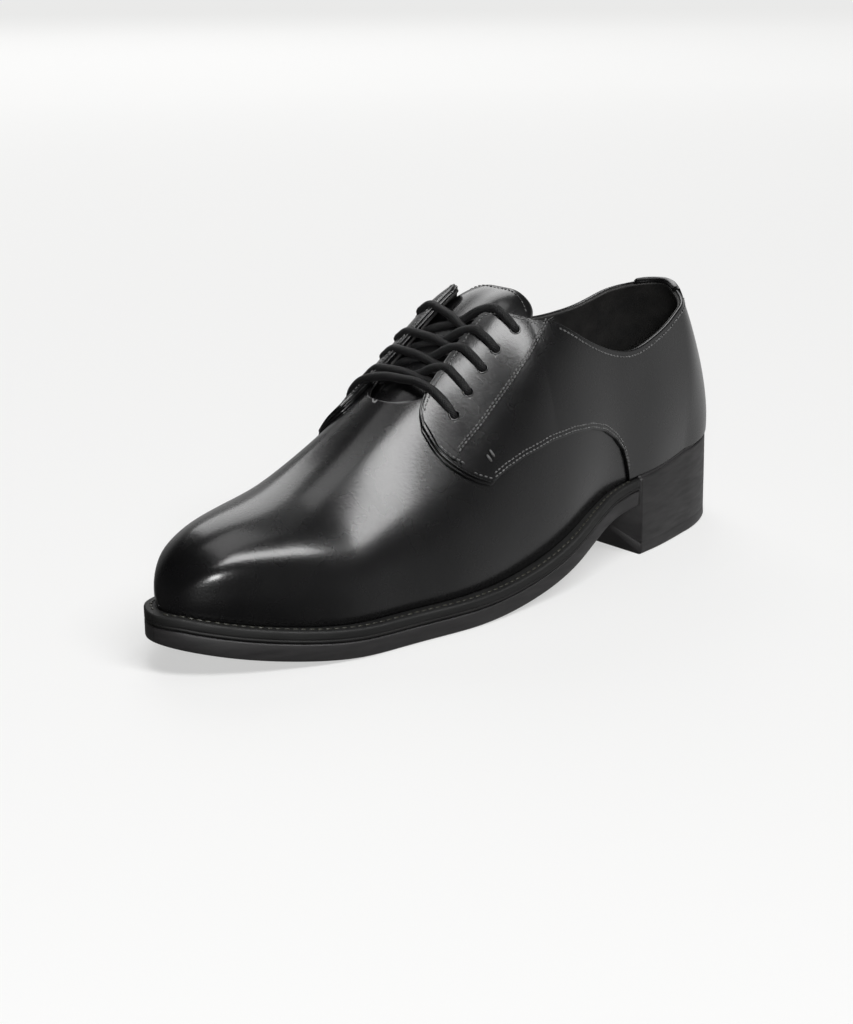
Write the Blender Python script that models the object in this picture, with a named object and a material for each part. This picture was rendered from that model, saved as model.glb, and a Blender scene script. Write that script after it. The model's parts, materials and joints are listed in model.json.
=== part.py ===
"""Left derby shoe: sole, heel, insole, hollow upper, tongue and laces, in metres."""
import math

import bmesh
import bpy
import numpy as np

# frame: the toe points to -Y, the wearer's left (lateral) side is +X, the floor is Z 0
MM = 0.001
SOLE_LENGTH = 291.2      # all sizes below are millimetres
HEEL_PIVOT = 36.0        # sections turn about this point round the heel
TOE_TIP = 286.8          # front of the upper
TOE_ROUND_START = 224.0  # plan of the upper starts to round in
TOE_DROP_START = 232.0   # ridge starts to fall to the toe
TOE_PLAN_POWER = 2.25
TOE_DROP_POWER = 2.3
TOE_INSET = -2.4         # toe tip stands this far to the medial side
SOLE_ROUND_START = 223.0
BREAST = 72.0            # front face of the heel
HEEL_FLARE = 1.1         # heel is wider at the floor
WELT_SHARE = 0.60        # part of the sole edge below the groove
GAP = 0.3                # curved pieces meet this far apart

WALL = 1.5               # vamp and lining
QUARTER_STEP = 0.9       # quarters lie on the vamp
FACING_STEP = 0.6        # facings lie on the quarters
EYELET_RADIUS = 1.9
LACE_RADIUS = 1.5
TONGUE_THICK = 2.7
INSOLE_THICK = 2.5

# sole edge: s from the back, lateral and medial half width, underside height, edge height
SOLE = (
    (36.0, 28.9, 29.2, 24.1, 11.3),
    (60.0, 33.4, 28.4, 21.9, 11.3),
    (90.0, 36.7, 27.0, 19.6, 11.3),
    (120.0, 43.9, 30.4, 10.0, 11.2),
    (150.0, 46.3, 38.2, 2.4, 11.2),
    (180.0, 46.0, 46.0, 0.0, 11.2),
    (205.0, 42.4, 48.1, 0.0, 11.2),
    (230.0, 39.2, 44.6, 0.3, 11.4),
    (255.0, 33.5, 39.2, 3.0, 11.7),
    (270.0, 30.6, 34.0, 5.8, 11.9),
    (291.2, 27.5, 29.5, 11.2, 12.0),
)
# upper at the welt: s, lateral and medial half width, height
FEATHER = (
    (36.0, 26.6, 27.0, 36.8),
    (60.0, 30.8, 25.8, 34.0),
    (90.0, 32.6, 22.8, 30.9),
    (120.0, 38.4, 25.4, 21.6),
    (150.0, 40.6, 32.8, 14.0),
    (180.0, 40.4, 40.6, 11.6),
    (205.0, 37.0, 42.6, 11.6),
    (230.0, 33.8, 39.2, 12.1),
    (255.0, 28.0, 33.6, 15.1),
    (270.0, 25.0, 28.4, 18.1),
    (287.0, 23.0, 26.0, 22.4),
)
# side of the upper: s, lateral and medial bulge, height of the bulge
SIDE = (
    (36.0, 2.0, 2.0, 22.0),
    (70.0, 3.0, 4.0, 26.0),
    (100.0, 5.0, 7.0, 30.0),
    (130.0, 5.0, 8.0, 30.0),
    (160.0, 4.5, 7.0, 26.0),
    (190.0, 4.5, 6.0, 22.0),
    (215.0, 4.0, 5.0, 20.0),
    (240.0, 4.0, 4.0, 18.0),
    (265.0, 4.0, 4.0, 17.0),
    (287.0, 4.0, 4.0, 16.0),
)
# crown: s, height, side shift, half width of the open top, pull out, pull down
CROWN = (
    (36.0, 122.0, 0.0, 6.0, 25.0, 26.0),
    (70.0, 125.0, 0.0, 17.0, 14.0, 32.0),
    (100.0, 124.5, -0.8, 10.0, 25.0, 15.0),
    (130.0, 114.5, -2.3, 0.0, 38.0, -8.0),
    (160.0, 96.4, -3.8, 0.0, 35.0, 0.0),
    (190.0, 75.7, -4.8, 0.0, 25.5, 0.0),
    (215.0, 60.6, -5.3, 0.0, 26.0, 0.0),
    (240.0, 52.5, -4.3, 0.0, 25.0, 0.0),
    (265.0, 53.1, -3.3, 0.0, 24.0, 0.0),
    (287.0, 56.0, -2.3, 0.0, 22.0, 0.0),
)
# back seam: the four control points (radius, height) from the welt to the top
BACK = ((32.5, 46.0), (33.3, 68.0), (18.8, 96.0), (6.7, 122.0))
# topline: s, lateral and medial height
TOPLINE = (
    (0.0, 104.0, 104.0),
    (18.0, 102.6, 102.8),
    (36.0, 98.0, 98.6),
    (48.0, 93.4, 94.6),
    (60.0, 90.0, 92.6),
    (74.0, 87.4, 92.0),
    (85.0, 88.4, 93.4),
    (95.0, 91.6, 96.6),
    (105.0, 96.4, 101.0),
    (115.0, 102.6, 106.6),
    (126.0, 109.0, 112.0),
)
# lacing edge of the facing: s, distance from the middle
LACING = (
    (112.0, 28.4),
    (121.0, 25.4),
    (128.0, 22.7),
    (133.0, 18.9),
    (137.0, 14.7),
    (139.5, 10.8),
    (142.0, 9.2),
    (150.0, 9.2),
    (160.0, 9.9),
    (170.0, 10.9),
    (175.0, 12.2),
    (178.0, 14.0),
    (180.0, 17.5),
)
# lower edge of the quarter: s, height on the lateral side
SEAM = (
    (78.0, 34.6),
    (80.0, 40.0),
    (84.0, 47.5),
    (90.0, 53.0),
    (98.0, 57.6),
    (108.0, 60.2),
    (120.0, 61.0),
    (133.0, 59.6),
    (147.0, 55.4),
    (163.0, 51.8),
)
# front edge of the quarter, from its corner to the nose: s, height
FRONT = ((163.0, 51.8), (169.0, 59.2), (174.3, 65.8), (177.0, 69.5), (179.0, 72.6), (180.0, 75.0))
# lower edge of the facing: s, height
STAY = ((118.0, 107.5), (121.0, 105.0), (131.0, 95.0), (144.0, 84.5), (160.0, 73.0), (172.0, 62.6))
# the medial quarter sits further back at the top and further forward at the nose: s, shift
SLANT = ((0.0, 0.0), (84.0, 0.0), (120.0, -6.0), (140.0, -9.0), (160.0, 0.0), (180.0, 10.0))
MEDIAL_EXTRA = 4.0       # medial lacing edge stands this much further out
# eyelets from the top: lateral s and distance from the middle, medial s and distance
EYELETS = (
    (136.5, 22.0, 142.0, 25.0),
    (146.0, 21.4, 154.0, 25.0),
    (153.0, 21.4, 161.5, 25.0),
    (161.0, 21.8, 170.0, 25.5),
    (169.0, 22.4, 178.0, 26.5),
)
# where the crossed laces go under the other facing: s and x of the lateral and medial lace
DIVES = (
    (150.6, -9.8, 147.9, 7.7),
    (158.4, -9.8, 154.8, 7.7),
    (165.2, -9.8, 161.9, 7.7),
    (171.3, -9.8, 168.1, 7.7),
)
NOSE = 180.0
THROAT = 184.0           # front end of the opening

BASE_STATIONS = (0, 7, 14, 21, 28, 36, 46, 56, 66, 76, 86, 96, 106, 115, 122, 128, 133, 136.5, 139.5,
                 142, 150, 158, 166, 172, 177, 181, 184)
TOE_STEPS = (190.0, 198.0, 207.0, 216.0, 224.0)
TOE_RINGS = 7
LEVELS = 10
QUARTER_STATIONS = (0, 7, 14, 21, 28, 36, 46, 56, 66, 76, 80, 84, 90, 98, 106, 115, 122, 128, 133,
                    136.5, 139.5, 142, 150, 158, 163, 169, 174.3, 177, 179, 180)
STAY_STATIONS = (119, 122, 128, 133, 136.5, 139.5, 142, 150, 158, 166, 172, 176, 178.5, 179.6)


def spline(table, column):
    """Natural cubic spline through one column of a table."""
    xs = np.array([r[0] for r in table], float)
    ys = np.array([r[column] for r in table], float)
    n = len(xs)
    h = np.diff(xs)
    a = np.eye(n)
    b = np.zeros(n)
    for i in range(1, n - 1):
        a[i, i - 1:i + 2] = h[i - 1], 2 * (h[i - 1] + h[i]), h[i]
        b[i] = 6 * ((ys[i + 1] - ys[i]) / h[i] - (ys[i] - ys[i - 1]) / h[i - 1])
    m = np.linalg.solve(a, b)

    def value(x):
        x = min(max(float(x), xs[0]), xs[-1])
        i = min(max(int(np.searchsorted(xs, x)) - 1, 0), n - 2)
        t, r = x - xs[i], xs[i + 1] - x
        return ((m[i] * r ** 3 + m[i + 1] * t ** 3) / (6 * h[i])
                + (ys[i] / h[i] - m[i] * h[i] / 6) * r
                + (ys[i + 1] / h[i] - m[i + 1] * h[i] / 6) * t)
    return value


def linear(table, column):
    """Straight steps through one column of a table."""
    xs = [r[0] for r in table]
    ys = [r[column] for r in table]
    return lambda x: float(np.interp(x, xs, ys))


SOLE_HALF = {1: spline(SOLE, 1), -1: spline(SOLE, 2)}
SOLE_UNDER, SOLE_EDGE = spline(SOLE, 3), spline(SOLE, 4)
WIDTH = {1: spline(FEATHER, 1), -1: spline(FEATHER, 2)}
FOOT_Z = spline(FEATHER, 3)
BULGE = {1: spline(SIDE, 1), -1: spline(SIDE, 2)}
BULGE_Z = spline(SIDE, 3)
TOP_Z, TOP_X, TOP_R, PULL, DROP = (spline(CROWN, k) for k in range(1, 6))
TOPLINE_Z = {1: spline(TOPLINE, 1), -1: spline(TOPLINE, 2)}
LACING_X = linear(LACING, 1)
SEAM_Z, FRONT_Z, STAY_Z = linear(SEAM, 1), linear(FRONT, 1), linear(STAY, 1)
SLANT_S = spline(SLANT, 1)


def smooth(t):
    """Ease from 0 to 1."""
    t = min(max(t, 0.0), 1.0)
    return t * t * (3 - 2 * t)


def closing(s, start, tip, power):
    """Share of the full size left while a form rounds in to its tip."""
    t = min(max((s - start) / (tip - start), 0.0), 1.0)
    return math.sqrt(max(0.0, 1.0 - t ** power))


def toe_shift(s):
    """Side shift of the middle line towards the toe."""
    return TOE_INSET * min(max((s - 200.0) / 91.0, 0.0), 1.0) ** 2


def controls(s, side):
    """Section at s: four (reach, height) points and the side shift of its crown."""
    plan = closing(s, TOE_ROUND_START, TOE_TIP, TOE_PLAN_POWER)
    drop = closing(s, TOE_DROP_START, TOE_TIP, TOE_DROP_POWER)
    foot = FOOT_Z(s)
    top = foot + (TOP_Z(s) - foot) * drop
    w = WIDTH[side](s) * plan
    r = max(TOP_R(s), 0.0) if s < 130.0 else 0.0
    points = [(w, foot), (w + BULGE[side](s) * plan, foot + BULGE_Z(s) * drop),
              (r + PULL(s) * plan, top - DROP(s) * drop), (r, top)]
    return points, TOP_X(s)


def section(s, side):
    """Control points, direction, origin and crown shift at s."""
    if s >= HEEL_PIVOT:
        points, shift = controls(s, side)
        return points, (side, 0.0), (toe_shift(s), s), shift
    points, shift = controls(HEEL_PIVOT, side)
    ahead, _ = controls(HEEL_PIVOT + 1.0, side)
    turn = (1.0 - s / HEEL_PIVOT) * math.pi / 2
    co, si = math.cos(turn), math.sin(turn)
    mix = si * si * (3 - 2 * si)
    out = []
    for (a, az), (n, _), (c, cz) in zip(points, ahead, BACK):
        reach = a * (1 - mix) + c * mix - (n - a) * si * co * co * 20.0
        out.append((reach, az + (cz - az) * (1 - co)))
    return out, (side * co, -si), (0.0, HEEL_PIVOT), shift * co


def surface(s, side, q):
    """Point (x, s, z) on the last; q runs 0 at the welt to 1 at the ridge."""
    points, way, origin, shift = section(s, side)
    k = ((1 - q) ** 3, 3 * (1 - q) ** 2 * q, 3 * (1 - q) * q * q, q ** 3)
    reach = sum(a * p[0] for a, p in zip(k, points))
    z = sum(a * p[1] for a, p in zip(k, points))
    ease = q * q * (3 - 2 * q)
    return np.array((origin[0] + way[0] * reach + shift * ease, origin[1] + way[1] * reach, z))


def normal(s, side, q):
    """Unit normal of the last, pointing out."""
    if s > TOE_TIP - 0.05:
        return np.array((0.0, 1.0, 0.0))
    ds, dq = 0.4, 0.01
    s0, s1 = max(s - ds, 0.0), min(s + ds, TOE_TIP - 0.02)
    q0, q1 = max(q - dq, 0.0), min(q + dq, 1.0)
    along = surface(s1, side, q) - surface(s0, side, q)
    up = surface(s, side, q1) - surface(s, side, q0)
    n = np.cross(along, up)
    _, way, _, _ = section(s, side)
    rise = up[0] * way[0] + up[1] * way[1]
    out = np.array((way[0] * up[2], way[1] * up[2], -rise))
    if q >= 0.999 and s >= 125.0:
        n[0] = 0.0
    if s <= 0.001:
        n[0] = 0.0
    n = n / (np.linalg.norm(n) + 1e-12)
    return n if n @ out >= 0 else -n


def off(s, side, q, h):
    """Point at height h over the last."""
    return surface(s, side, q) + normal(s, side, q) * h


def q_at(s, side, want, axis, low=0.0, high=1.0):
    """Level where a section reaches a distance from the middle (axis 0) or a height (axis 2)."""
    a, b = low, high
    for _ in range(40):
        m = (a + b) / 2
        p = surface(s, side, m)
        ahead = abs(p[0]) > want if axis == 0 else p[2] < want
        a, b = (m, b) if ahead else (a, m)
    return (a + b) / 2


def per_q(s, side, q):
    """Length of one unit of q at this place."""
    a, b = surface(s, side, max(q - 0.01, 0)), surface(s, side, min(q + 0.01, 1))
    return np.linalg.norm(b - a) / (min(q + 0.01, 1) - max(q - 0.01, 0))


def rim_q(s, side):
    """Level of the collar and lacing edge; s is counted on the lateral side."""
    own = s if side > 0 else s + SLANT_S(s)
    low = q_at(own, side, TOPLINE_Z[side](own), 2) if own < 128 else 0.0
    extra = 0.0 if side > 0 else MEDIAL_EXTRA * smooth((s - 100.0) / 30.0)
    edge = q_at(own, side, LACING_X(s) + extra, 0, 0.45) if s > 110 else 0.0
    k = smooth((s - 112.0) / 14.0)
    return low * (1 - k) + edge * k


def low_q(s):
    """Level of the lower edge of the quarter."""
    if s <= 78.0:
        return 0.5 / per_q(s, 1, 0.0)
    height = SEAM_Z(s) if s <= 163.0 else FRONT_Z(s)
    return max(q_at(s, 1, height, 2), 0.5 / per_q(s, 1, 0.0))


def stay_q(s):
    """Level of the lower edge of the facing."""
    return max(q_at(s, 1, STAY_Z(s), 2), low_q(s))


def nose_q(side):
    """Level of the nose of the quarter."""
    return (low_q(NOSE) + rim_q(NOSE, side)) / 2


def row(p):
    """Shoe point (x, s, z) in millimetres to the row's frame in metres."""
    return (p[0] * MM, (SOLE_LENGTH / 2 - p[1]) * MM, p[2] * MM)


class Skin:
    """Closed mesh built from keyed points."""

    def __init__(self):
        self.points, self.index, self.faces = [], {}, []

    def point(self, key, make):
        if key not in self.index:
            self.index[key] = len(self.points)
            self.points.append(row(make()))
        return self.index[key]

    def face(self, *ids):
        ring = [v for i, v in enumerate(ids) if v != ids[i - 1]]
        if len(set(ring)) >= 3:
            self.faces.append(ring)

    def finish(self, name, material):
        mesh = bpy.data.meshes.new(name)
        mesh.from_pydata(self.points, [], self.faces)
        bm = bmesh.new()
        bm.from_mesh(mesh)
        bmesh.ops.triangulate(bm, faces=bm.faces[:])
        bmesh.ops.recalc_face_normals(bm, faces=bm.faces[:])
        if bm.calc_volume(signed=True) < 0:
            bmesh.ops.reverse_faces(bm, faces=bm.faces[:])
        bm.to_mesh(mesh)
        bm.free()
        mesh.materials.append(material)
        obj = bpy.data.objects.new(name, mesh)
        bpy.context.scene.collection.objects.link(obj)
        for polygon in mesh.polygons:
            polygon.use_smooth = True
        return obj


def leather(name, colour, rough):
    """Plain material."""
    m = bpy.data.materials.new(name)
    m.use_nodes = True
    b = m.node_tree.nodes["Principled BSDF"]
    b.inputs["Base Color"].default_value = (*colour, 1.0)
    b.inputs["Roughness"].default_value = rough
    return m


def patch(name, material, stations, band, outer, inner, join_from=None, pole=False):
    """Shell over both sides: band(s, side) gives own s, low q and high q."""
    skin = Skin()
    last = len(stations) - 1

    def vertex(i, side, j, layer):
        s = stations[i]
        if pole and i == last:
            return skin.point(("pole", layer), lambda: off(TOE_TIP, 1, 0.0, outer if layer else inner))
        joined = (i == 0 and s == 0) or (join_from is not None and i >= join_from and j == LEVELS)
        key = (i, 1 if joined else side, j, layer)

        def make():
            own, a, b = band(s, side)
            q = 1.0 if (join_from is not None and i >= join_from and j == LEVELS) else a + (b - a) * j / LEVELS
            return off(own, side, q, outer if layer else inner)
        if not pole and i == last:
            key = (i, side, 0, layer)
        return skin.point(key, make)

    for side in (1, -1):
        for i in range(last):
            for j in range(LEVELS):
                a, b = vertex(i, side, j, 1), vertex(i + 1, side, j, 1)
                c, d = vertex(i + 1, side, j + 1, 1), vertex(i, side, j + 1, 1)
                skin.face(a, b, c, d)
                e, f = vertex(i, side, j, 0), vertex(i + 1, side, j, 0)
                g, h = vertex(i + 1, side, j + 1, 0), vertex(i, side, j + 1, 0)
                skin.face(h, g, f, e)
            skin.face(vertex(i, side, 0, 1), vertex(i, side, 0, 0),
                      vertex(i + 1, side, 0, 0), vertex(i + 1, side, 0, 1))
            if join_from is None or i < join_from:
                skin.face(vertex(i, side, LEVELS, 0), vertex(i, side, LEVELS, 1),
                          vertex(i + 1, side, LEVELS, 1), vertex(i + 1, side, LEVELS, 0))
    if stations[0] != 0:
        for side in (1, -1):
            for j in range(LEVELS):
                skin.face(vertex(0, side, j, 0), vertex(0, side, j, 1),
                          vertex(0, side, j + 1, 1), vertex(0, side, j + 1, 0))
    return skin.finish(name, material)


def base_band(s, side):
    """Vamp and lining: from the welt up to just below the quarter's rim."""
    if s >= THROAT:
        return s, 0.0, 1.0
    if side > 0:
        top = rim_q(min(s, NOSE), side)
    else:
        lat = s
        for _ in range(12):
            lat = s - SLANT_S(lat)
        top = rim_q(min(max(lat, 0.0), NOSE), side)
    if s > 170.0:
        t = (s - 170.0) / (THROAT - 170.0)
        hold = rim_q(170.0, side)
        top = 1.0 - (1.0 - hold) * math.sqrt(max(0.0, 1.0 - t * t))
    return s, 0.0, top - 0.8 / per_q(s, side, top)


def quarter_band(s, side):
    """Quarter and facing together, on the vamp."""
    own = s if side > 0 else s + SLANT_S(s)
    if s >= NOSE:
        q = nose_q(side)
        return own, q, q
    return own, low_q(s), max(rim_q(s, side), low_q(s) + 0.01)


def stay_band(s, side):
    """Facing with the eyelets, on the quarter."""
    own = s if side > 0 else s + SLANT_S(s)
    if s >= STAY_STATIONS[-1]:
        q = nose_q(side)
        return own, q, q
    top = rim_q(s, side)
    edge = 0.35 / per_q(own, side, top)
    low = min(stay_q(s) + (edge if s > 172.0 else 0.0), top - 3 * edge)
    return own, low, top - edge


def tab_band(s, side):
    """Tab over the back seam at the collar."""
    top = rim_q(s, side)
    edge = 0.35 / per_q(s, side, top)
    deep = 12.5 * math.sqrt(max(0.0, 1.0 - (s / 20.0) ** 2.2))
    low = top - max(deep, 0.4) / per_q(s, side, top)
    if s >= 20.0:
        return s, top - 1.5 * edge, top - 1.5 * edge
    return s, low, top - edge


def unite(body, others, operation):
    """Apply Boolean steps to a body."""
    for k, other in enumerate(others):
        mod = body.modifiers.new("step_%d" % k, "BOOLEAN")
        mod.operation = operation
        mod.solver = "EXACT"
        mod.object = other
        other.hide_render = True
        other.display_type = "WIRE"


def apply_all(body):
    """Turn a body with modifiers into plain mesh and drop its cutters."""
    graph = bpy.context.evaluated_depsgraph_get()
    mesh = bpy.data.meshes.new_from_object(body.evaluated_get(graph))
    used = [m.object for m in body.modifiers]
    body.modifiers.clear()
    body.data = mesh
    for other in used:
        bpy.data.objects.remove(other)
    for polygon in mesh.polygons:
        polygon.use_smooth = True


def build_upper(material):
    """Hollow upper with quarters and facings as steps in its wall."""
    toe = [TOE_ROUND_START + (TOE_TIP - TOE_ROUND_START) * math.sin(math.pi / 2 * k / TOE_RINGS)
           for k in range(1, TOE_RINGS + 1)]
    stations = list(BASE_STATIONS) + list(TOE_STEPS) + toe
    join = stations.index(THROAT)
    upper = patch("upper", material, stations, base_band, 0.0, -WALL, join, True)
    quarter = patch("quarter_form", material, list(QUARTER_STATIONS), quarter_band,
                    QUARTER_STEP, -WALL / 2)
    stay = patch("facing_form", material, list(STAY_STATIONS), stay_band,
                 QUARTER_STEP + FACING_STEP, -WALL / 2 + 0.35)
    tab = patch("tab_form", material, [0, 5, 10, 14, 17, 19, 20], tab_band,
                QUARTER_STEP + 0.5, -WALL / 2 + 0.35)
    unite(upper, [quarter, stay, tab], "UNION")
    apply_all(upper)
    holes = []
    for ls, lx, ms, mx in EYELETS:
        for side, own, reach in ((1, ls, lx), (-1, ms, mx)):
            q = q_at(own, side, reach, 0, 0.4)
            holes.append(peg(off(own, side, q, -6.0), off(own, side, q, 6.0), EYELET_RADIUS, 10))
    unite(upper, holes, "DIFFERENCE")
    apply_all(upper)
    return upper


def peg(start, end, radius, sides):
    """Cutter: a round peg between two shoe points."""
    return tube("peg", [start, end], radius, sides, None)


def tube(name, path, radius, sides, material):
    """Round tube along shoe points."""
    skin = Skin()
    path = [np.array(p, float) for p in path]
    ring_side = None
    for i, p in enumerate(path):
        way = path[min(i + 1, len(path) - 1)] - path[max(i - 1, 0)]
        way /= np.linalg.norm(way)
        if ring_side is None:
            ring_side = np.cross(way, (0.3, 0.2, 1.0))
        ring_side = ring_side - way * (ring_side @ way)
        ring_side /= np.linalg.norm(ring_side)
        other = np.cross(way, ring_side)
        for k in range(sides):
            a = 2 * math.pi * k / sides
            at = p + radius * (math.cos(a) * ring_side + math.sin(a) * other)
            skin.point((i, k), lambda at=at: at)
    for i in range(len(path) - 1):
        for k in range(sides):
            n = (k + 1) % sides
            skin.face(i * sides + k, i * sides + n, (i + 1) * sides + n, (i + 1) * sides + k)
    skin.faces.append(list(range(sides))[::-1])
    skin.faces.append([(len(path) - 1) * sides + k for k in range(sides)])
    return skin.finish(name, material or bpy.data.materials["leather_black"])


def sole_outline(stations, inset, start=None):
    """Plan points of the sole edge, lateral then medial, moved in by inset."""
    def half(s, side):
        full = SOLE_HALF[side](max(s, HEEL_PIVOT)) * closing(s, SOLE_ROUND_START, SOLE_LENGTH, 2.25)
        return full

    def at(s, side):
        if s >= HEEL_PIVOT:
            return np.array((toe_shift(s) + side * half(s, side), s))
        turn = (1.0 - s / HEEL_PIVOT) * math.pi / 2
        w = half(HEEL_PIVOT, side)
        slope = (half(HEEL_PIVOT + 1, side) - w)
        r = 1 / math.sqrt((math.cos(turn) / w) ** 2 + (math.sin(turn) / HEEL_PIVOT) ** 2)
        r -= slope * math.sin(turn) * math.cos(turn) ** 2 * 20.0
        return np.array((side * r * math.cos(turn), HEEL_PIVOT - r * math.sin(turn)))
    out = {}
    for side in (1, -1):
        line = []
        for s in stations:
            s = min(max(s, 0.0), SOLE_LENGTH)
            a = at(max(s - 0.3, 0.0), side)
            b = at(min(s + 0.3, SOLE_LENGTH), side)
            p = at(s, side)
            if s < 0.01:
                n = np.array((0.0, -1.0))
            elif s > SOLE_LENGTH - 0.01:
                n = np.array((0.0, 1.0))
            else:
                t = b - a
                n = np.array((t[1], -t[0])) * side
                n /= np.linalg.norm(n)
            line.append(p - n * inset)
        out[side] = line
    return out


def plate(name, material, stations, profile, close_back, close_front):
    """Plate with a shaped edge; profile rows are inset and a height function."""
    skin = Skin()
    lines = [sole_outline(stations, inset) for inset, _ in profile]
    last = len(stations) - 1

    def vertex(i, side, k):
        single = (i == 0 and close_back) or (i == last and close_front)
        key = (i, 1 if single else side, k)

        def make():
            x, s = lines[k][side][i]
            return (x, s, profile[k][1](s))
        return skin.point(key, make)

    top = len(profile) - 1
    for i in range(last):
        for side in (1, -1):
            for k in range(top):
                skin.face(vertex(i, side, k), vertex(i + 1, side, k),
                          vertex(i + 1, side, k + 1), vertex(i, side, k + 1))
        for k in (0, top):
            skin.face(vertex(i, 1, k), vertex(i + 1, 1, k), vertex(i + 1, -1, k), vertex(i, -1, k))
    for i, closed in ((0, close_back), (last, close_front)):
        if not closed:
            ring = [vertex(i, 1, k) for k in range(top + 1)] + [vertex(i, -1, k) for k in range(top, -1, -1)]
            skin.face(*ring)
    return skin.finish(name, material)


def seat_z(s):
    """Top of the sole edge; it rises round the heel."""
    base = FOOT_Z(max(s, HEEL_PIVOT))
    if s < HEEL_PIVOT:
        turn = math.acos(min(max((HEEL_PIVOT - s) / HEEL_PIVOT, 0.0), 1.0))
        base += (BACK[0][1] - base) * (1 - math.sin(turn))
    return base - GAP


def build_sole(rubber, edge, lining):
    """Outsole, welt, heel block and insole."""
    front = [BREAST + 0.4, 84, 96, 108, 120, 132, 144, 156, 168, 180, 192, 204, 214, 223]
    toe = [SOLE_ROUND_START + (SOLE_LENGTH - SOLE_ROUND_START) * math.sin(math.pi / 2 * k / 9)
           for k in range(1, 10)]
    stations = front + toe

    def under(s):
        return max(SOLE_UNDER(s), 0.0)

    def split(s):
        return under(s) + WELT_SHARE * (seat_z(s) - under(s))
    plate("outsole", rubber, stations,
          [(1.0, under), (0.0, lambda s: under(s) + 1.0),
           (0.0, lambda s: split(s) - 0.9), (0.7, lambda s: split(s) - 0.15)], False, True)
    plate("welt", edge, stations,
          [(0.7, lambda s: split(s) + 0.15), (0.0, lambda s: split(s) + 0.9),
           (0.0, lambda s: seat_z(s) - 0.9), (0.9, seat_z)], False, True)
    back = [36 * (1 - math.cos(math.pi / 2 * k / 6)) for k in range(7)] + [45, 54, 63, BREAST]
    plate("heel", rubber, back,
          [(-HEEL_FLARE + 0.8, lambda s: 0.0), (-HEEL_FLARE, lambda s: 0.8),
           (0.0, lambda s: seat_z(s) - 0.9), (0.9, seat_z)], True, False)
    inner = [9.0, 12, 18, 26, 36, 48, 60, 76, 92, 108, 124, 140, 156, 172, 188, 204, 216, 228, 240, 252,
             262, 270, 277, 282]
    insole = Skin()

    def ins(i, side, k):
        s = inner[i]
        p = surface(s, side, 0.0)
        reach = 2.8
        n = normal(s, side, 0.0)
        n[2] = 0.0
        n /= np.linalg.norm(n)
        at = p - n * reach
        z = p[2] if k == 0 else p[2] + INSOLE_THICK
        return insole.point((i, side, k), lambda: (at[0], at[1], z))
    n = len(inner) - 1
    for i in range(n):
        for k in (0, 1):
            insole.face(ins(i, 1, k), ins(i + 1, 1, k), ins(i + 1, -1, k), ins(i, -1, k))
        for side in (1, -1):
            insole.face(ins(i, side, 0), ins(i + 1, side, 0), ins(i + 1, side, 1), ins(i, side, 1))
    for i in (0, n):
        insole.face(ins(i, 1, 0), ins(i, -1, 0), ins(i, -1, 1), ins(i, 1, 1))
    insole.finish("insole", lining)


def crown_point(s, x, h):
    """Point over the crown at a side position x."""
    ridge = TOP_X(s) + toe_shift(s)
    side = 1 if x >= ridge else -1
    a, b = 0.3, 1.0
    for _ in range(40):
        m = (a + b) / 2
        p = surface(s, side, m)
        out = p[0] > x if side > 0 else p[0] < x
        a, b = (m, b) if out else (a, m)
    return off(s, side, (a + b) / 2, h)


TONGUE = (  # s, half width over the surface, lift of its middle
    (122.5, 9.0, 3.4),
    (124.0, 15.0, 3.2),
    (127.0, 20.0, 2.8),
    (131.0, 23.0, 1.8),
    (137.0, 25.0, 0.5),
    (145.0, 26.0, 0.0),
    (155.0, 27.0, 0.0),
    (165.0, 28.0, 0.0),
    (175.0, 29.0, 0.0),
    (185.0, 30.0, 0.0),
    (194.0, 30.0, 0.0),
)


def build_tongue(material):
    """Tongue under the facings."""
    skin = Skin()
    across = 12
    top, bottom = -(WALL + 1.2), -(WALL + 1.2 + TONGUE_THICK)

    def make(i, k, layer):
        s, half, lift = TONGUE[i]
        u = -1 + 2 * k / across
        x = TOP_X(s) + u * half
        rise = lift * (1 - u * u) ** 2
        return crown_point(s, x, (top if layer else bottom) + rise)

    def v(i, k, layer):
        return skin.point((i, k, layer), lambda: make(i, k, layer))
    n = len(TONGUE) - 1
    for i in range(n):
        for k in range(across):
            skin.face(v(i, k, 1), v(i + 1, k, 1), v(i + 1, k + 1, 1), v(i, k + 1, 1))
            skin.face(v(i, k, 0), v(i, k + 1, 0), v(i + 1, k + 1, 0), v(i + 1, k, 0))
        for k in (0, across):
            skin.face(v(i, k, 0), v(i + 1, k, 0), v(i + 1, k, 1), v(i, k, 1))
    for i in (0, n):
        for k in range(across):
            skin.face(v(i, k, 0), v(i, k, 1), v(i, k + 1, 1), v(i, k + 1, 0))
    return skin.finish("tongue", material)


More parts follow.
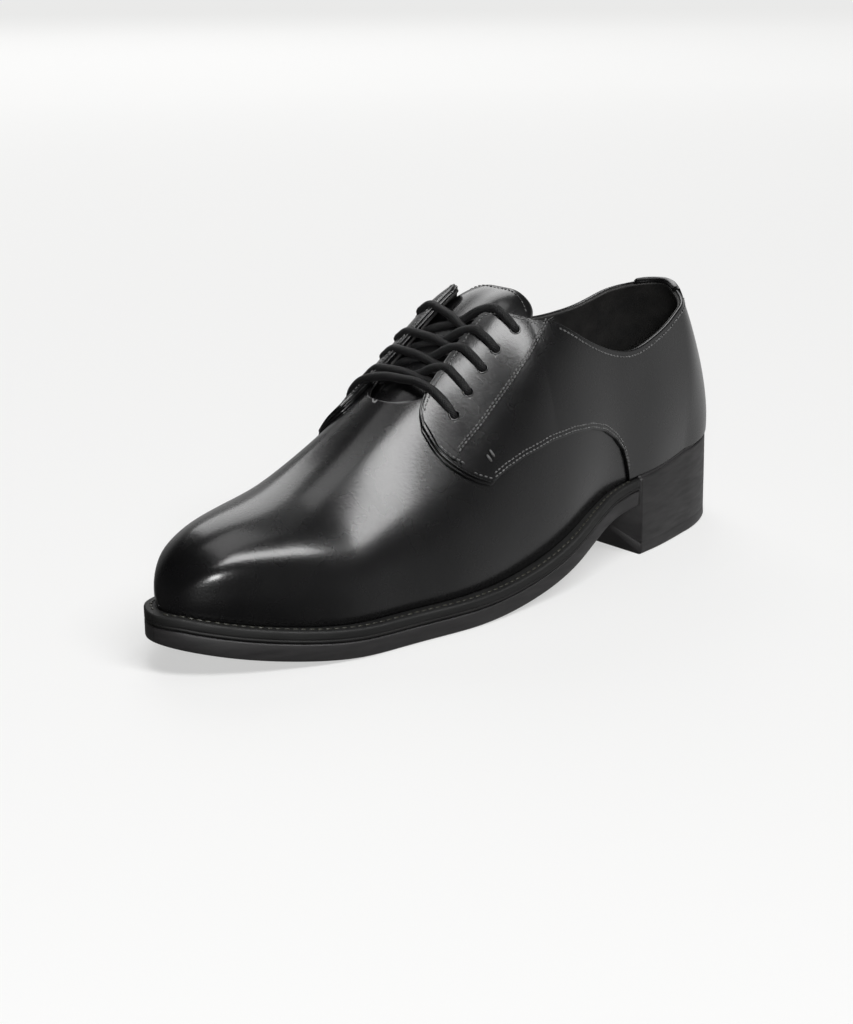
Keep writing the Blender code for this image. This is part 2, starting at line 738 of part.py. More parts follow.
def build_laces(material):
    """Straight bar at the toe end and four crossings above it."""
    over = QUARTER_STEP + FACING_STEP + 0.45 + LACE_RADIUS
    low = -(WALL + 1.2) + 0.5 + LACE_RADIUS

    ls, lx, ms, mx = EYELETS[4]
    bar = []
    for t in (0.06, 0.2, 0.35, 0.5, 0.65, 0.8, 0.94):
        bar.append(crown_point(ls + (ms - ls) * t, lx + (-mx - lx) * t, over))
    tube("lace_bar", bar, LACE_RADIUS, 7, material)
    for k, (end_ls, end_lx, end_ms, end_mx) in enumerate(DIVES):
        ls, lx, ms, mx = EYELETS[k]
        pieces = []
        for name, s0, x0, s1, x1, sink in (("lace_cross_%d" % (k + 1), ls, lx, end_ls, end_lx, 0.6),
                                           ("lace_form", ms, -mx, end_ms, end_mx, 0.0)):
            path = []
            for t in (0.06, 0.2, 0.36, 0.5, 0.62, 0.76, 0.88, 1.0):
                drop = smooth((t - 0.55) / 0.4)
                h = over * (1 - drop) + low * drop - sink * math.exp(-((t - 0.68) / 0.2) ** 2)
                path.append(crown_point(s0 + (s1 - s0) * t, x0 + (x1 - x0) * t, h))
            pieces.append(tube(name, path, LACE_RADIUS, 7, material))
        unite(pieces[0], [pieces[1]], "UNION")
        apply_all(pieces[0])


def main():
    """Build every piece."""
    for old in list(bpy.data.objects):
        bpy.data.objects.remove(old)
    black = leather("leather_black", (0.025, 0.025, 0.027), 0.3)
    rubber = leather("rubber_sole", (0.045, 0.045, 0.046), 0.55)
    edge = leather("leather_welt", (0.035, 0.034, 0.034), 0.5)
    lining = leather("leather_lining", (0.05, 0.045, 0.042), 0.7)
    cord = leather("cotton_lace", (0.02, 0.02, 0.021), 0.6)
    build_upper(black)
    build_sole(rubber, edge, lining)
    build_tongue(black)
    build_laces(cord)


main()
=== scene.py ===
"""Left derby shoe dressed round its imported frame: leather, seams, threads, laces, sole and studio."""
import json
import logging
import math
from dataclasses import dataclass
from enum import IntEnum
from functools import lru_cache
from typing import Callable, Iterator, Sequence

import bpy
import numpy as np
from mathutils import Matrix, Vector
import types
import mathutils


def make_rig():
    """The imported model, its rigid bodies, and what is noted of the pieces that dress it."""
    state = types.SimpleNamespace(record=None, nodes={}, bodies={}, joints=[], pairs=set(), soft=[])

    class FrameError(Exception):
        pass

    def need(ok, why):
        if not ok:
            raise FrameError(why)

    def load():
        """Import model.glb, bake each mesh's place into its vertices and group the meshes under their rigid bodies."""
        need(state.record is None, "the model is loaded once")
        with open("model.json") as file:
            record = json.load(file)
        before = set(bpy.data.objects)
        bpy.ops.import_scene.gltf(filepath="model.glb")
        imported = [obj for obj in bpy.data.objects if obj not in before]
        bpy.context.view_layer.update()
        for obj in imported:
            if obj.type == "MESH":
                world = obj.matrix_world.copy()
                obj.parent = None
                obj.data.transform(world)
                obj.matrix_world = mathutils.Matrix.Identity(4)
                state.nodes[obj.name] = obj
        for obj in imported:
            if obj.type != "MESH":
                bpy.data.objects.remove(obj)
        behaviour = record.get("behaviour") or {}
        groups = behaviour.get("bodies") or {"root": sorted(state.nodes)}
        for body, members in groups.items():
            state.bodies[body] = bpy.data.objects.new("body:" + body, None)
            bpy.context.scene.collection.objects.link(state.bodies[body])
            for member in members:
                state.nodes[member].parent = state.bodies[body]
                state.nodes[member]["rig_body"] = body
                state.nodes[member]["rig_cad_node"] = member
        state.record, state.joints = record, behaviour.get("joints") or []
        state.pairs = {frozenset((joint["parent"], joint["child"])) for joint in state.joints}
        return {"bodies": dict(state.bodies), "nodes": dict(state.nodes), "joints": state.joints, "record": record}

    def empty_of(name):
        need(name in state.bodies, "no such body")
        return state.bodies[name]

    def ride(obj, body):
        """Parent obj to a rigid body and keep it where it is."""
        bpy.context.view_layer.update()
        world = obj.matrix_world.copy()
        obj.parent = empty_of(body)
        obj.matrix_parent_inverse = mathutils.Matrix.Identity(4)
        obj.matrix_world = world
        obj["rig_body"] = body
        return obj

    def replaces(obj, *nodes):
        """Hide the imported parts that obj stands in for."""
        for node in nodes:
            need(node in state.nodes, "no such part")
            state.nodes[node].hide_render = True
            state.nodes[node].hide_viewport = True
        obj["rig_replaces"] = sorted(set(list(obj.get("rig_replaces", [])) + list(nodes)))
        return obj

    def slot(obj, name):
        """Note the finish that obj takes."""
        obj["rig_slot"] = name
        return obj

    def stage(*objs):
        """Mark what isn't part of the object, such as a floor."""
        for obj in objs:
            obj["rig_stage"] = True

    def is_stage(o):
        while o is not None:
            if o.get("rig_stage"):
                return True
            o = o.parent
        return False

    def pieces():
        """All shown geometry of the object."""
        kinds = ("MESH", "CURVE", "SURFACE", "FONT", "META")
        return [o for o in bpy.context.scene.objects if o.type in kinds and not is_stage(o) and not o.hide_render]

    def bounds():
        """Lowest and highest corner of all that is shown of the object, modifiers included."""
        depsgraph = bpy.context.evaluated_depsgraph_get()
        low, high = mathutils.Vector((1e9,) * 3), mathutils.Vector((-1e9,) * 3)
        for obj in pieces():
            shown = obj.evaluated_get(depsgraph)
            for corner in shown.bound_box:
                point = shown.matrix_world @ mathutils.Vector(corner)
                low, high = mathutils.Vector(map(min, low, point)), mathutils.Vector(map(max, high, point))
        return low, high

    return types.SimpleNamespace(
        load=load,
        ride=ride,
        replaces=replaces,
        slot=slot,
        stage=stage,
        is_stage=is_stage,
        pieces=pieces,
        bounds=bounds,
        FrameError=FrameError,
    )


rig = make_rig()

LOG = logging.getLogger("derby")
MM = 0.001
SIZE_FILE = "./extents.json"
BISECTIONS = 30
RANGE_SOCKETS = ("From Min", "From Max", "To Min", "To Max")
Object = bpy.types.Object
Material = bpy.types.Material
Point = Sequence[float]
Rows = list[list[np.ndarray]]


class Side(IntEnum):
    """Side of the shoe; the value is the sign of x."""

    LATERAL = 1
    MEDIAL = -1


class Spline:
    """Natural cubic spline through one column of a table."""

    def __init__(self, table: Sequence[Sequence[float]], column: int) -> None:
        """Args: table: rows with the place first. column: the value's column."""
        self.xs = np.array([r[0] for r in table], float)
        self.ys = np.array([r[column] for r in table], float)
        n = len(self.xs)
        self.h = np.diff(self.xs)
        a, b = np.eye(n), np.zeros(n)
        for i in range(1, n - 1):
            a[i, i - 1:i + 2] = self.h[i - 1], 2 * (self.h[i - 1] + self.h[i]), self.h[i]
            b[i] = 6 * ((self.ys[i + 1] - self.ys[i]) / self.h[i]
                        - (self.ys[i] - self.ys[i - 1]) / self.h[i - 1])
        self.m = np.linalg.solve(a, b)

    def __call__(self, x: float) -> float:
        """Value at x, held at the ends."""
        x = min(max(float(x), self.xs[0]), self.xs[-1])
        i = min(max(int(np.searchsorted(self.xs, x)) - 1, 0), len(self.xs) - 2)
        t, r, h = x - self.xs[i], self.xs[i + 1] - x, self.h[i]
        return float((self.m[i] * r ** 3 + self.m[i + 1] * t ** 3) / (6 * h)
                     + (self.ys[i] / h - self.m[i] * h / 6) * r
                     + (self.ys[i + 1] / h - self.m[i + 1] * h / 6) * t)


def linear(table: Sequence[Sequence[float]]) -> Callable[[float], float]:
    """Straight steps through a table of two columns."""
    xs, ys = [r[0] for r in table], [r[1] for r in table]
    return lambda x: float(np.interp(x, xs, ys))


def ease(t: float) -> float:
    """Smooth step from 0 to 1."""
    t = min(max(t, 0.0), 1.0)
    return t * t * (3 - 2 * t)


def closing(s: float, start: float, tip: float, power: float) -> float:
    """Share of the full size left while a form rounds in to its tip."""
    t = min(max((s - start) / (tip - start), 0.0), 1.0)
    return math.sqrt(max(0.0, 1.0 - t ** power))


def spaced(start: float, end: float, step: float) -> list[float]:
    """Even stations from start to end, about one step apart."""
    count = max(int(round(abs(end - start) / step)), 1) + 1
    return [float(v) for v in np.linspace(start, end, count)]


def spread(*marks: Sequence[float]) -> list[float]:
    """Stations over stretches: a start and a step each, then the end, which is left out."""
    return [v for (start, step), (end, *_) in zip(marks, marks[1:])
            for v in spaced(start, end, step)[:-1]]


def rounding(radius: float, away: float) -> float:
    """Depth below a flat face at a distance from its rounded edge."""
    if away >= radius:
        return 0.0
    return radius - math.sqrt(max(radius * radius - (radius - away) ** 2, 0.0))


def eased_out(start: float, end: float, count: int) -> list[float]:
    """Stations that crowd towards the end."""
    return [start + (end - start) * math.sin(math.pi / 2 * k / count) for k in range(count + 1)]


@dataclass(eq=False)
class Last:
    """Form that the leather lies on. s runs from the back to the toe, in millimetres."""

    length: float = 291.2
    pivot: float = 36.0
    toe_tip: float = 286.8
    toe_round: float = 224.0
    toe_drop: float = 232.0
    plan_power: float = 2.25
    drop_power: float = 2.3
    toe_inset: float = -2.4
    nose: float = 180.0
    throat: float = 184.0
    medial_extra: float = 4.0
    feather: tuple = (
        (36.0, 26.6, 27.0, 36.8), (60.0, 30.8, 25.8, 34.0), (90.0, 32.6, 22.8, 30.9),
        (120.0, 38.4, 25.4, 21.6), (150.0, 40.6, 32.8, 14.0), (180.0, 40.4, 40.6, 11.6),
        (205.0, 37.0, 42.6, 11.6), (230.0, 33.8, 39.2, 12.1), (255.0, 28.0, 33.6, 15.1),
        (270.0, 25.0, 28.4, 18.1), (287.0, 23.0, 26.0, 22.4))
    side_form: tuple = (
        (36.0, 2.0, 2.0, 22.0), (70.0, 3.0, 4.0, 26.0), (100.0, 5.0, 7.0, 30.0),
        (130.0, 5.0, 8.0, 30.0), (160.0, 4.5, 7.0, 26.0), (190.0, 4.5, 6.0, 22.0),
        (215.0, 4.0, 5.0, 20.0), (240.0, 4.0, 4.0, 18.0), (265.0, 4.0, 4.0, 17.0),
        (287.0, 4.0, 4.0, 16.0))
    crown: tuple = (
        (36.0, 122.0, 0.0, 6.0, 25.0, 26.0), (70.0, 125.0, 0.0, 17.0, 14.0, 32.0),
        (100.0, 124.5, -0.8, 10.0, 25.0, 15.0), (130.0, 114.5, -2.3, 0.0, 38.0, -8.0),
        (160.0, 96.4, -3.8, 0.0, 35.0, 0.0), (190.0, 75.7, -4.8, 0.0, 25.5, 0.0),
        (215.0, 60.6, -5.3, 0.0, 26.0, 0.0), (240.0, 52.5, -4.3, 0.0, 25.0, 0.0),
        (265.0, 53.1, -3.3, 0.0, 24.0, 0.0), (287.0, 56.0, -2.3, 0.0, 22.0, 0.0))
    back: tuple = ((32.5, 46.0), (33.3, 68.0), (18.8, 96.0), (6.7, 122.0))
    topline: tuple = (
        (0.0, 104.0, 104.0), (18.0, 102.6, 102.8), (36.0, 98.0, 98.6), (48.0, 93.4, 94.6),
        (60.0, 90.0, 92.6), (74.0, 87.4, 92.0), (85.0, 88.4, 93.4), (95.0, 91.6, 96.6),
        (105.0, 96.4, 101.0), (115.0, 102.6, 106.6), (126.0, 109.0, 112.0))
    lacing: tuple = (
        (112.0, 28.4), (121.0, 25.4), (128.0, 22.7), (133.0, 18.9), (137.0, 14.7), (139.5, 10.8),
        (142.0, 9.2), (150.0, 9.2), (160.0, 9.9), (170.0, 10.9), (175.0, 12.2), (178.0, 14.0),
        (180.0, 17.5))
    seam: tuple = (
        (78.0, 34.6), (80.0, 40.0), (84.0, 47.8), (90.0, 53.8), (98.0, 58.8), (108.0, 61.8),
        (120.0, 62.8), (133.0, 62.0), (147.0, 58.6), (156.0, 55.2), (163.0, 51.8))
    front: tuple = (
        (163.0, 51.8), (168.0, 53.7), (172.0, 56.1), (175.5, 59.0), (178.0, 62.0), (179.3, 64.5),
        (179.8, 66.4), (180.0, 69.0))
    stay: tuple = (
        (118.0, 107.5), (121.0, 105.0), (131.0, 97.4), (140.0, 90.0), (156.0, 76.0), (172.0, 62.0),
        (174.0, 60.2), (176.0, 58.4))
    slant: tuple = (
        (0.0, 0.0), (84.0, 0.0), (120.0, -6.0), (140.0, -9.0), (160.0, 0.0), (180.0, 10.0))

    def __post_init__(self) -> None:
        """Make the curves of the tables."""
        self.width = {1: Spline(self.feather, 1), -1: Spline(self.feather, 2)}
        self.foot = Spline(self.feather, 3)
        self.bulge = {1: Spline(self.side_form, 1), -1: Spline(self.side_form, 2)}
        self.bulge_z = Spline(self.side_form, 3)
        self.top_z, self.top_x, self.top_r, self.pull, self.drop = (
            Spline(self.crown, k) for k in range(1, 6))
        self.topline_z = {1: Spline(self.topline, 1), -1: Spline(self.topline, 2)}
        self.lacing_x, self.seam_z = linear(self.lacing), linear(self.seam)
        self.front_z, self.stay_z = linear(self.front), linear(self.stay)
        self.slant_s = Spline(self.slant, 1)

    def toe_shift(self, s: float) -> float:
        """Side shift of the middle line towards the toe."""
        return self.toe_inset * min(max((s - 200.0) / 91.0, 0.0), 1.0) ** 2

    def controls(self, s: float, side: int) -> tuple[list[tuple[float, float]], float]:
        """Section at s: four (reach, height) points and the side shift of its crown."""
        plan = closing(s, self.toe_round, self.toe_tip, self.plan_power)
        drop = closing(s, self.toe_drop, self.toe_tip, self.drop_power)
        foot = self.foot(s)
        top = foot + (self.top_z(s) - foot) * drop
        w = self.width[side](s) * plan
        r = max(self.top_r(s), 0.0) if s < 130.0 else 0.0
        return [(w, foot), (w + self.bulge[side](s) * plan, foot + self.bulge_z(s) * drop),
                (r + self.pull(s) * plan, top - self.drop(s) * drop), (r, top)], self.top_x(s)

    @lru_cache(maxsize=None)
    def section(self, s: float, side: int) -> tuple:
        """Control points, direction, origin and crown shift at s."""
        if s >= self.pivot:
            points, shift = self.controls(s, side)
            return points, (side, 0.0), (self.toe_shift(s), s), shift
        points, shift = self.controls(self.pivot, side)
        ahead, _ = self.controls(self.pivot + 1.0, side)
        turn = (1.0 - s / self.pivot) * math.pi / 2
        co, si = math.cos(turn), math.sin(turn)
        mix = si * si * (3 - 2 * si)
        out = [(a * (1 - mix) + c * mix - (n - a) * si * co * co * 20.0, az + (cz - az) * (1 - co))
               for (a, az), (n, _), (c, cz) in zip(points, ahead, self.back)]
        return out, (side * co, -si), (0.0, self.pivot), shift * co

    def surface(self, s: float, side: int, q: float) -> np.ndarray:
        """Point (x, s, z); q runs from 0 at the welt to 1 at the ridge."""
        points, way, origin, shift = self.section(s, side)
        k = ((1 - q) ** 3, 3 * (1 - q) ** 2 * q, 3 * (1 - q) * q * q, q ** 3)
        reach = sum(a * p[0] for a, p in zip(k, points))
        z = sum(a * p[1] for a, p in zip(k, points))
        return np.array((origin[0] + way[0] * reach + shift * q * q * (3 - 2 * q),
                         origin[1] + way[1] * reach, z))

    def normal(self, s: float, side: int, q: float) -> np.ndarray:
        """Unit normal, pointing out."""
        if s > self.toe_tip - 0.05:
            return np.array((0.0, 1.0, 0.0))
        s0, s1 = max(s - 0.4, 0.0), min(s + 0.4, self.toe_tip - 0.02)
        q0, q1 = max(q - 0.01, 0.0), min(q + 0.01, 1.0)
        along = self.surface(s1, side, q) - self.surface(s0, side, q)
        up = self.surface(s, side, q1) - self.surface(s, side, q0)
        n = np.cross(along, up)
        way = self.section(s, side)[1]
        out = np.array((way[0] * up[2], way[1] * up[2], -(up[0] * way[0] + up[1] * way[1])))
        if (q >= 0.999 and s >= 125.0) or s <= 0.001:
            n[0] = 0.0
        n = n / (np.linalg.norm(n) + 1e-12)
        return n if n @ out >= 0 else -n

    def off(self, s: float, side: int, q: float, h: float) -> np.ndarray:
        """Point at height h over the form."""
        return self.surface(s, side, q) + self.normal(s, side, q) * h

    def q_at(self, s: float, side: int, want: float, axis: int, low: float = 0.0) -> float:
        """Level where a section reaches a distance from the middle (0) or a height (2)."""
        a, b = low, 1.0
        for _ in range(BISECTIONS):
            m = (a + b) / 2
            p = self.surface(s, side, m)
            a, b = (m, b) if (abs(p[0]) > want if axis == 0 else p[2] < want) else (a, m)
        return (a + b) / 2

    def per_q(self, s: float, side: int, q: float) -> float:
        """Length of one unit of q at this place."""
        q0, q1 = max(q - 0.01, 0.0), min(q + 0.01, 1.0)
        step = self.surface(s, side, q1) - self.surface(s, side, q0)
        return float(np.linalg.norm(step) / (q1 - q0))

    def own(self, s: float, side: int) -> float:
        """Station on its own side; the medial quarter is slanted."""
        return s if side > 0 else s + self.slant_s(s)

    @lru_cache(maxsize=None)
    def rim_q(self, s: float, side: int) -> float:
        """Level of the collar and lacing edge; s is counted on the lateral side."""
        own = self.own(s, side)
        low = self.q_at(own, side, self.topline_z[side](own), 2) if own < 128 else 0.0
        extra = 0.0 if side > 0 else self.medial_extra * ease((s - 100.0) / 30.0)
        edge = self.q_at(own, side, self.lacing_x(s) + extra, 0, 0.45) if s > 110 else 0.0
        k = ease((s - 112.0) / 14.0)
        return low * (1 - k) + edge * k

    @lru_cache(maxsize=None)
    def low_q(self, s: float) -> float:
        """Level of the lower edge of the quarter."""
        if s <= 78.0:
            return 0.5 / self.per_q(s, 1, 0.0)
        height = self.seam_z(s) if s <= 163.0 else self.front_z(s)
        return max(self.q_at(s, 1, height, 2), 0.5 / self.per_q(s, 1, 0.0))

    @lru_cache(maxsize=None)
    def stay_q(self, s: float) -> float:
        """Level of the lower edge of the facing."""
        return max(self.q_at(s, 1, self.stay_z(s), 2), self.low_q(s))

    def nose_q(self, side: int) -> float:
        """Level of the nose of the quarter."""
        return (self.low_q(self.nose) + self.rim_q(self.nose, side)) / 2

    def over(self, s: float, x: float, h: float) -> np.ndarray:
        """Point over the crown at a side position x."""
        side = 1 if x >= self.top_x(s) + self.toe_shift(s) else -1
        a, b = 0.3, 1.0
        for _ in range(BISECTIONS):
            m = (a + b) / 2
            p = self.surface(s, side, m)
            a, b = (m, b) if (p[0] > x if side > 0 else p[0] < x) else (a, m)
        return self.off(s, side, (a + b) / 2, h)


def to_row(points: np.ndarray) -> np.ndarray:
    """Shoe points (x, s, z) in millimetres to the row frame in metres."""
    p = np.asarray(points, float).reshape(-1, 3)
    return np.stack([p[:, 0], 145.6 - p[:, 1], p[:, 2]], 1) * MM


def clear_selection() -> None:
    """Deselect everything before an operator acts."""
    bpy.ops.object.select_all(action="DESELECT")


def weld(obj: Object, gap: float = 4e-6) -> None:
    """Merge doubles, drop empty faces and make the normals agree."""
    clear_selection()
    obj.select_set(True)
    bpy.context.view_layer.objects.active = obj
    bpy.ops.object.mode_set(mode="EDIT")
    bpy.ops.mesh.select_all(action="SELECT")
    bpy.ops.mesh.remove_doubles(threshold=gap)
    bpy.ops.mesh.dissolve_degenerate(threshold=gap / 2)
    bpy.ops.mesh.normals_make_consistent(inside=False)
    bpy.ops.mesh.select_all(action="DESELECT")
    bpy.ops.object.mode_set(mode="OBJECT")


def woven(name: str, rows: Rows, holes: Callable[[int, int], bool] | None = None) -> Object:
    """Grid primitive drawn over rows of shoe points.

    Args:
        name: the piece's name.
        rows: equal rows of points.
        holes: true for the faces (row, column) to leave out.

    Returns:
        The new object, at the origin.
    """
    ny, nx = len(rows), len(rows[0])
    clear_selection()
    bpy.ops.mesh.primitive_grid_add(x_subdivisions=nx - 1, y_subdivisions=ny - 1, size=2)
    obj = bpy.context.active_object
    obj.name = obj.data.name = name
    mesh = obj.data
    co = np.empty(len(mesh.vertices) * 3)
    mesh.vertices.foreach_get("co", co)
    co = co.reshape(-1, 3)
    col = np.rint((co[:, 0] + 1) / 2 * (nx - 1)).astype(int)
    line = np.rint((co[:, 1] + 1) / 2 * (ny - 1)).astype(int)
    place = to_row(np.array(rows).reshape(-1, 3)).reshape(ny, nx, 3)
    mesh.vertices.foreach_set("co", place[line, col].reshape(-1))
    mesh.update()
    if holes is not None:
        bpy.ops.object.mode_set(mode="EDIT")
        bpy.ops.mesh.select_mode(type="FACE")
        bpy.ops.object.mode_set(mode="OBJECT")
        for polygon in mesh.polygons:
            ids = list(polygon.vertices)
            polygon.select = holes(int(line[ids].min()), int(col[ids].min()))
        bpy.ops.object.mode_set(mode="EDIT")
        bpy.ops.mesh.delete(type="FACE")
        bpy.ops.mesh.select_mode(type="VERT")
        bpy.ops.object.mode_set(mode="OBJECT")
    return obj


def strip(name: str, rows: Rows) -> Object:
    """Woven rows with their doubles merged."""
    obj = woven(name, rows)
    weld(obj)
    return obj


def modify(obj: Object, kind: str, **values: object) -> None:
    """Add a modifier, set it and apply it."""
    clear_selection()
    obj.select_set(True)
    bpy.context.view_layer.objects.active = obj
    mod = obj.modifiers.new(kind.lower(), kind)
    for key, value in values.items():
        setattr(mod, key, value)
    bpy.ops.object.modifier_apply(modifier=mod.name)


def dress(obj: Object, material: Material, slot: str, *stands_for: str) -> None:
    """Shade, paint and mount a finished piece on the shoe."""
    obj.data.materials.clear()
    obj.data.materials.append(material)
    for polygon in obj.data.polygons:
        polygon.use_smooth = True
    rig.ride(obj, "root")
    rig.slot(obj, slot)
    if stands_for:
        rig.replaces(obj, *stands_for)
    LOG.info("%s: %d faces", obj.name, len(obj.data.polygons))


def joined(name: str, parts: list[Object]) -> Object:
    """Join finished parts into one piece."""
    clear_selection()
    for part in parts:
        part.select_set(True)
    bpy.context.view_layer.objects.active = parts[0]
    bpy.ops.object.join()
    parts[0].name = parts[0].data.name = name
    return parts[0]


def tube(name: str, path: Sequence[np.ndarray], radius: float, sides: int = 16) -> Object:
    """Round cord along shoe points, closed at both ends."""
    p = [np.array(v, float) for v in path]
    rows: Rows = []
    hold = None
    for i, at in enumerate(p):
        way = p[min(i + 1, len(p) - 1)] - p[max(i - 1, 0)]
        way /= np.linalg.norm(way)
        hold = np.cross(way, (0.3, 0.2, 1.0)) if hold is None else hold
        hold = hold - way * (hold @ way)
        hold /= np.linalg.norm(hold)
        other = np.cross(way, hold)
        ring = [at + radius * (math.cos(a) * hold + math.sin(a) * other)
                for a in np.linspace(0, 2 * math.pi, sides + 1)]
        if i in (0, len(p) - 1):
            rows += [ring, [at] * (sides + 1)] if i else [[at] * (sides + 1), ring]
        else:
            rows.append(ring)
    return strip(name, rows)


def through(keys: Sequence[Point], step: float) -> list[np.ndarray]:
    """Smooth path through key points, in even short steps."""
    k = [np.array(v, float) for v in keys]
    k = [2 * k[0] - k[1]] + k + [2 * k[-1] - k[-2]]
    fine = []
    for a, b, c, d in zip(k, k[1:], k[2:], k[3:]):
        for t in np.linspace(0, 1, 24, endpoint=False):
            fine.append(0.5 * (2 * b + (c - a) * t + (2 * a - 5 * b + 4 * c - d) * t * t
                               + (3 * b - a - 3 * c + d) * t ** 3))
    fine.append(k[-2])
    return resample(fine, step)


def run_of(p: np.ndarray) -> np.ndarray:
    """Length run from the first point to each point."""
    return np.concatenate([[0.0], np.cumsum(np.linalg.norm(np.diff(p, axis=0), axis=1))])


def at_run(want: float, run: np.ndarray, p: np.ndarray) -> np.ndarray:
    """Value of p at a length along its line."""
    return np.array([np.interp(want, run, p[:, k]) for k in range(3)])


def resample(line: Sequence[np.ndarray], step: float) -> list[np.ndarray]:
    """Even points along a line."""
    p = np.array(line, float)
    run = run_of(p)
    want = np.linspace(0, run[-1], max(int(round(run[-1] / step)), 1) + 1)
    return [at_run(w, run, p) for w in want]


def capped(rows: Rows) -> Rows:
    """Close both ends of a strip at the middle of its end rings."""
    first, final = (sum(rows[k][:-1]) / (len(rows[k]) - 1) for k in (0, -1))
    return [[first] * len(rows[0])] + rows + [[final] * len(rows[-1])]


@dataclass(frozen=True)
class Thread:
    """A sewn row: pitch, stitch length, width and height in millimetres."""

    pitch: float = 1.8
    length: float = 1.4
    width: float = 0.62
    height: float = 0.5

    def sew(self, name: str, lines: Sequence[tuple[list, list]]) -> Object:
        """Lay stitches along lines.

        Args:
            name: the piece's name.
            lines: pairs of points and of normals, in shoe millimetres.

        Returns:
            One mesh with every stitch.
        """
        clear_selection()
        bpy.ops.mesh.primitive_uv_sphere_add(segments=8, ring_count=5, radius=0.5)
        base = bpy.context.active_object
        v = np.array([p.co[:] for p in base.data.vertices])
        v[:, 2] = np.sign(v[:, 2]) * np.abs(v[:, 2] * 2) ** 0.7 / 2
        faces = [list(f.vertices) for f in base.data.polygons]
        spots: list[np.ndarray] = []
        for points, normals in lines:
            p, n = np.array(points), np.array(normals)
            run = run_of(p)
            count = max(int(run[-1] / self.pitch), 1)
            for k in range(count):
                w = (k + 0.5) * run[-1] / count
                at, up = at_run(w, run, p), at_run(w, run, n)
                b, a = at_run(min(w + 0.4, run[-1]), run, p), at_run(max(w - 0.4, 0), run, p)
                way = (b - a) / (np.linalg.norm(b - a) + 1e-9)
                up = up - way * (up @ way)
                up /= np.linalg.norm(up) + 1e-9
                across = np.cross(way, up)
                spots.append(at + (v[:, :1] * self.width) * across + (v[:, 1:2] * self.height) * up
                             + (v[:, 2:] * self.length) * way)
        n = len(v)
        mesh = bpy.data.meshes.new(name)
        sewn = [[i + k * n for i in reversed(f)] for k in range(len(spots)) for f in faces]
        mesh.from_pydata(to_row(np.concatenate(spots)).tolist(), [], sewn)
        base.data = mesh
        base.name = name
        weld(base, 1e-7)
        return base


FINE = Thread()
BOLD = Thread(2.0, 1.6, 0.72, 0.66)
TACK = Thread(3.6, 3.5, 1.1, 1.1)
LIGHT = Thread(2.0, 1.5, 0.5, 0.32)
WELTING = Thread(3.1, 2.3, 0.95, 0.55)


class Nodes:
    """A material's node tree, built step by step."""

    def __init__(self, name: str) -> None:
        """Args: name: the material's name."""
        self.material = bpy.data.materials.new(name)
        self.material.use_nodes = True
        self.tree = self.material.node_tree
        self.shader = self.tree.nodes["Principled BSDF"]
        self.coords = self.tree.nodes.new("ShaderNodeTexCoord")

    def set(self, **values: object) -> None:
        """Set constant sockets of the shader; underscores stand for spaces."""
        for key, value in values.items():
            self.shader.inputs[key.replace("_", " ")].default_value = value

    def link(self, start: object, end: object) -> None:
        """Join two sockets."""
        self.tree.links.new(start, end)

    def noise(self, scale: float, detail: float = 3.0, stretch: Point = (1, 1, 1)) -> object:
        """Noise value on object coordinates."""
        mapping = self.tree.nodes.new("ShaderNodeMapping")
        mapping.inputs["Scale"].default_value = stretch
        node = self.tree.nodes.new("ShaderNodeTexNoise")
        node.inputs["Scale"].default_value = scale
        node.inputs["Detail"].default_value = detail
        self.link(self.coords.outputs["Object"], mapping.inputs["Vector"])
        self.link(mapping.outputs["Vector"], node.inputs["Vector"])
        return node.outputs["Fac"]

    def wave(self, scale: float, turn: float, stretch: Point) -> object:
        """Diagonal ribs on UV coordinates."""
        mapping = self.tree.nodes.new("ShaderNodeMapping")
        mapping.inputs["Scale"].default_value = stretch
        mapping.inputs["Rotation"].default_value = (0, 0, turn)
        node = self.tree.nodes.new("ShaderNodeTexWave")
        node.inputs["Scale"].default_value = scale
        self.link(self.coords.outputs["UV"], mapping.inputs["Vector"])
        self.link(mapping.outputs["Vector"], node.inputs["Vector"])
        return node.outputs["Fac"]

    def ramp(self, value: object, low: float, high: float, start: float = 0.3,
             end: float = 0.7) -> object:
        """Map a value to a range."""
        node = self.tree.nodes.new("ShaderNodeMapRange")
        for key, number in zip(RANGE_SOCKETS, (start, end, low, high)):
            node.inputs[key].default_value = number
        self.link(value, node.inputs["Value"])
        return node.outputs["Result"]

    def colour(self, value: object, low: Point, high: Point) -> None:
        """Colour between two tones by a value."""
        node = self.tree.nodes.new("ShaderNodeMix")
        node.data_type = "RGBA"
        node.inputs["A"].default_value = (*low, 1)
        node.inputs["B"].default_value = (*high, 1)
        self.link(value, node.inputs["Factor"])
        self.link(node.outputs["Result"], self.shader.inputs["Base Color"])

    def bump(self, *layers: tuple[object, float]) -> None:
        """Bump layers, each a value and a depth in millimetres."""
        last = None
        for value, depth in layers:
            node = self.tree.nodes.new("ShaderNodeBump")
            node.inputs["Distance"].default_value = depth * MM
            node.inputs["Strength"].default_value = 1.0
            self.link(value, node.inputs["Height"])
            if last is not None:
                self.link(last, node.inputs["Normal"])
            last = node.outputs["Normal"]
        self.link(last, self.shader.inputs["Normal"])


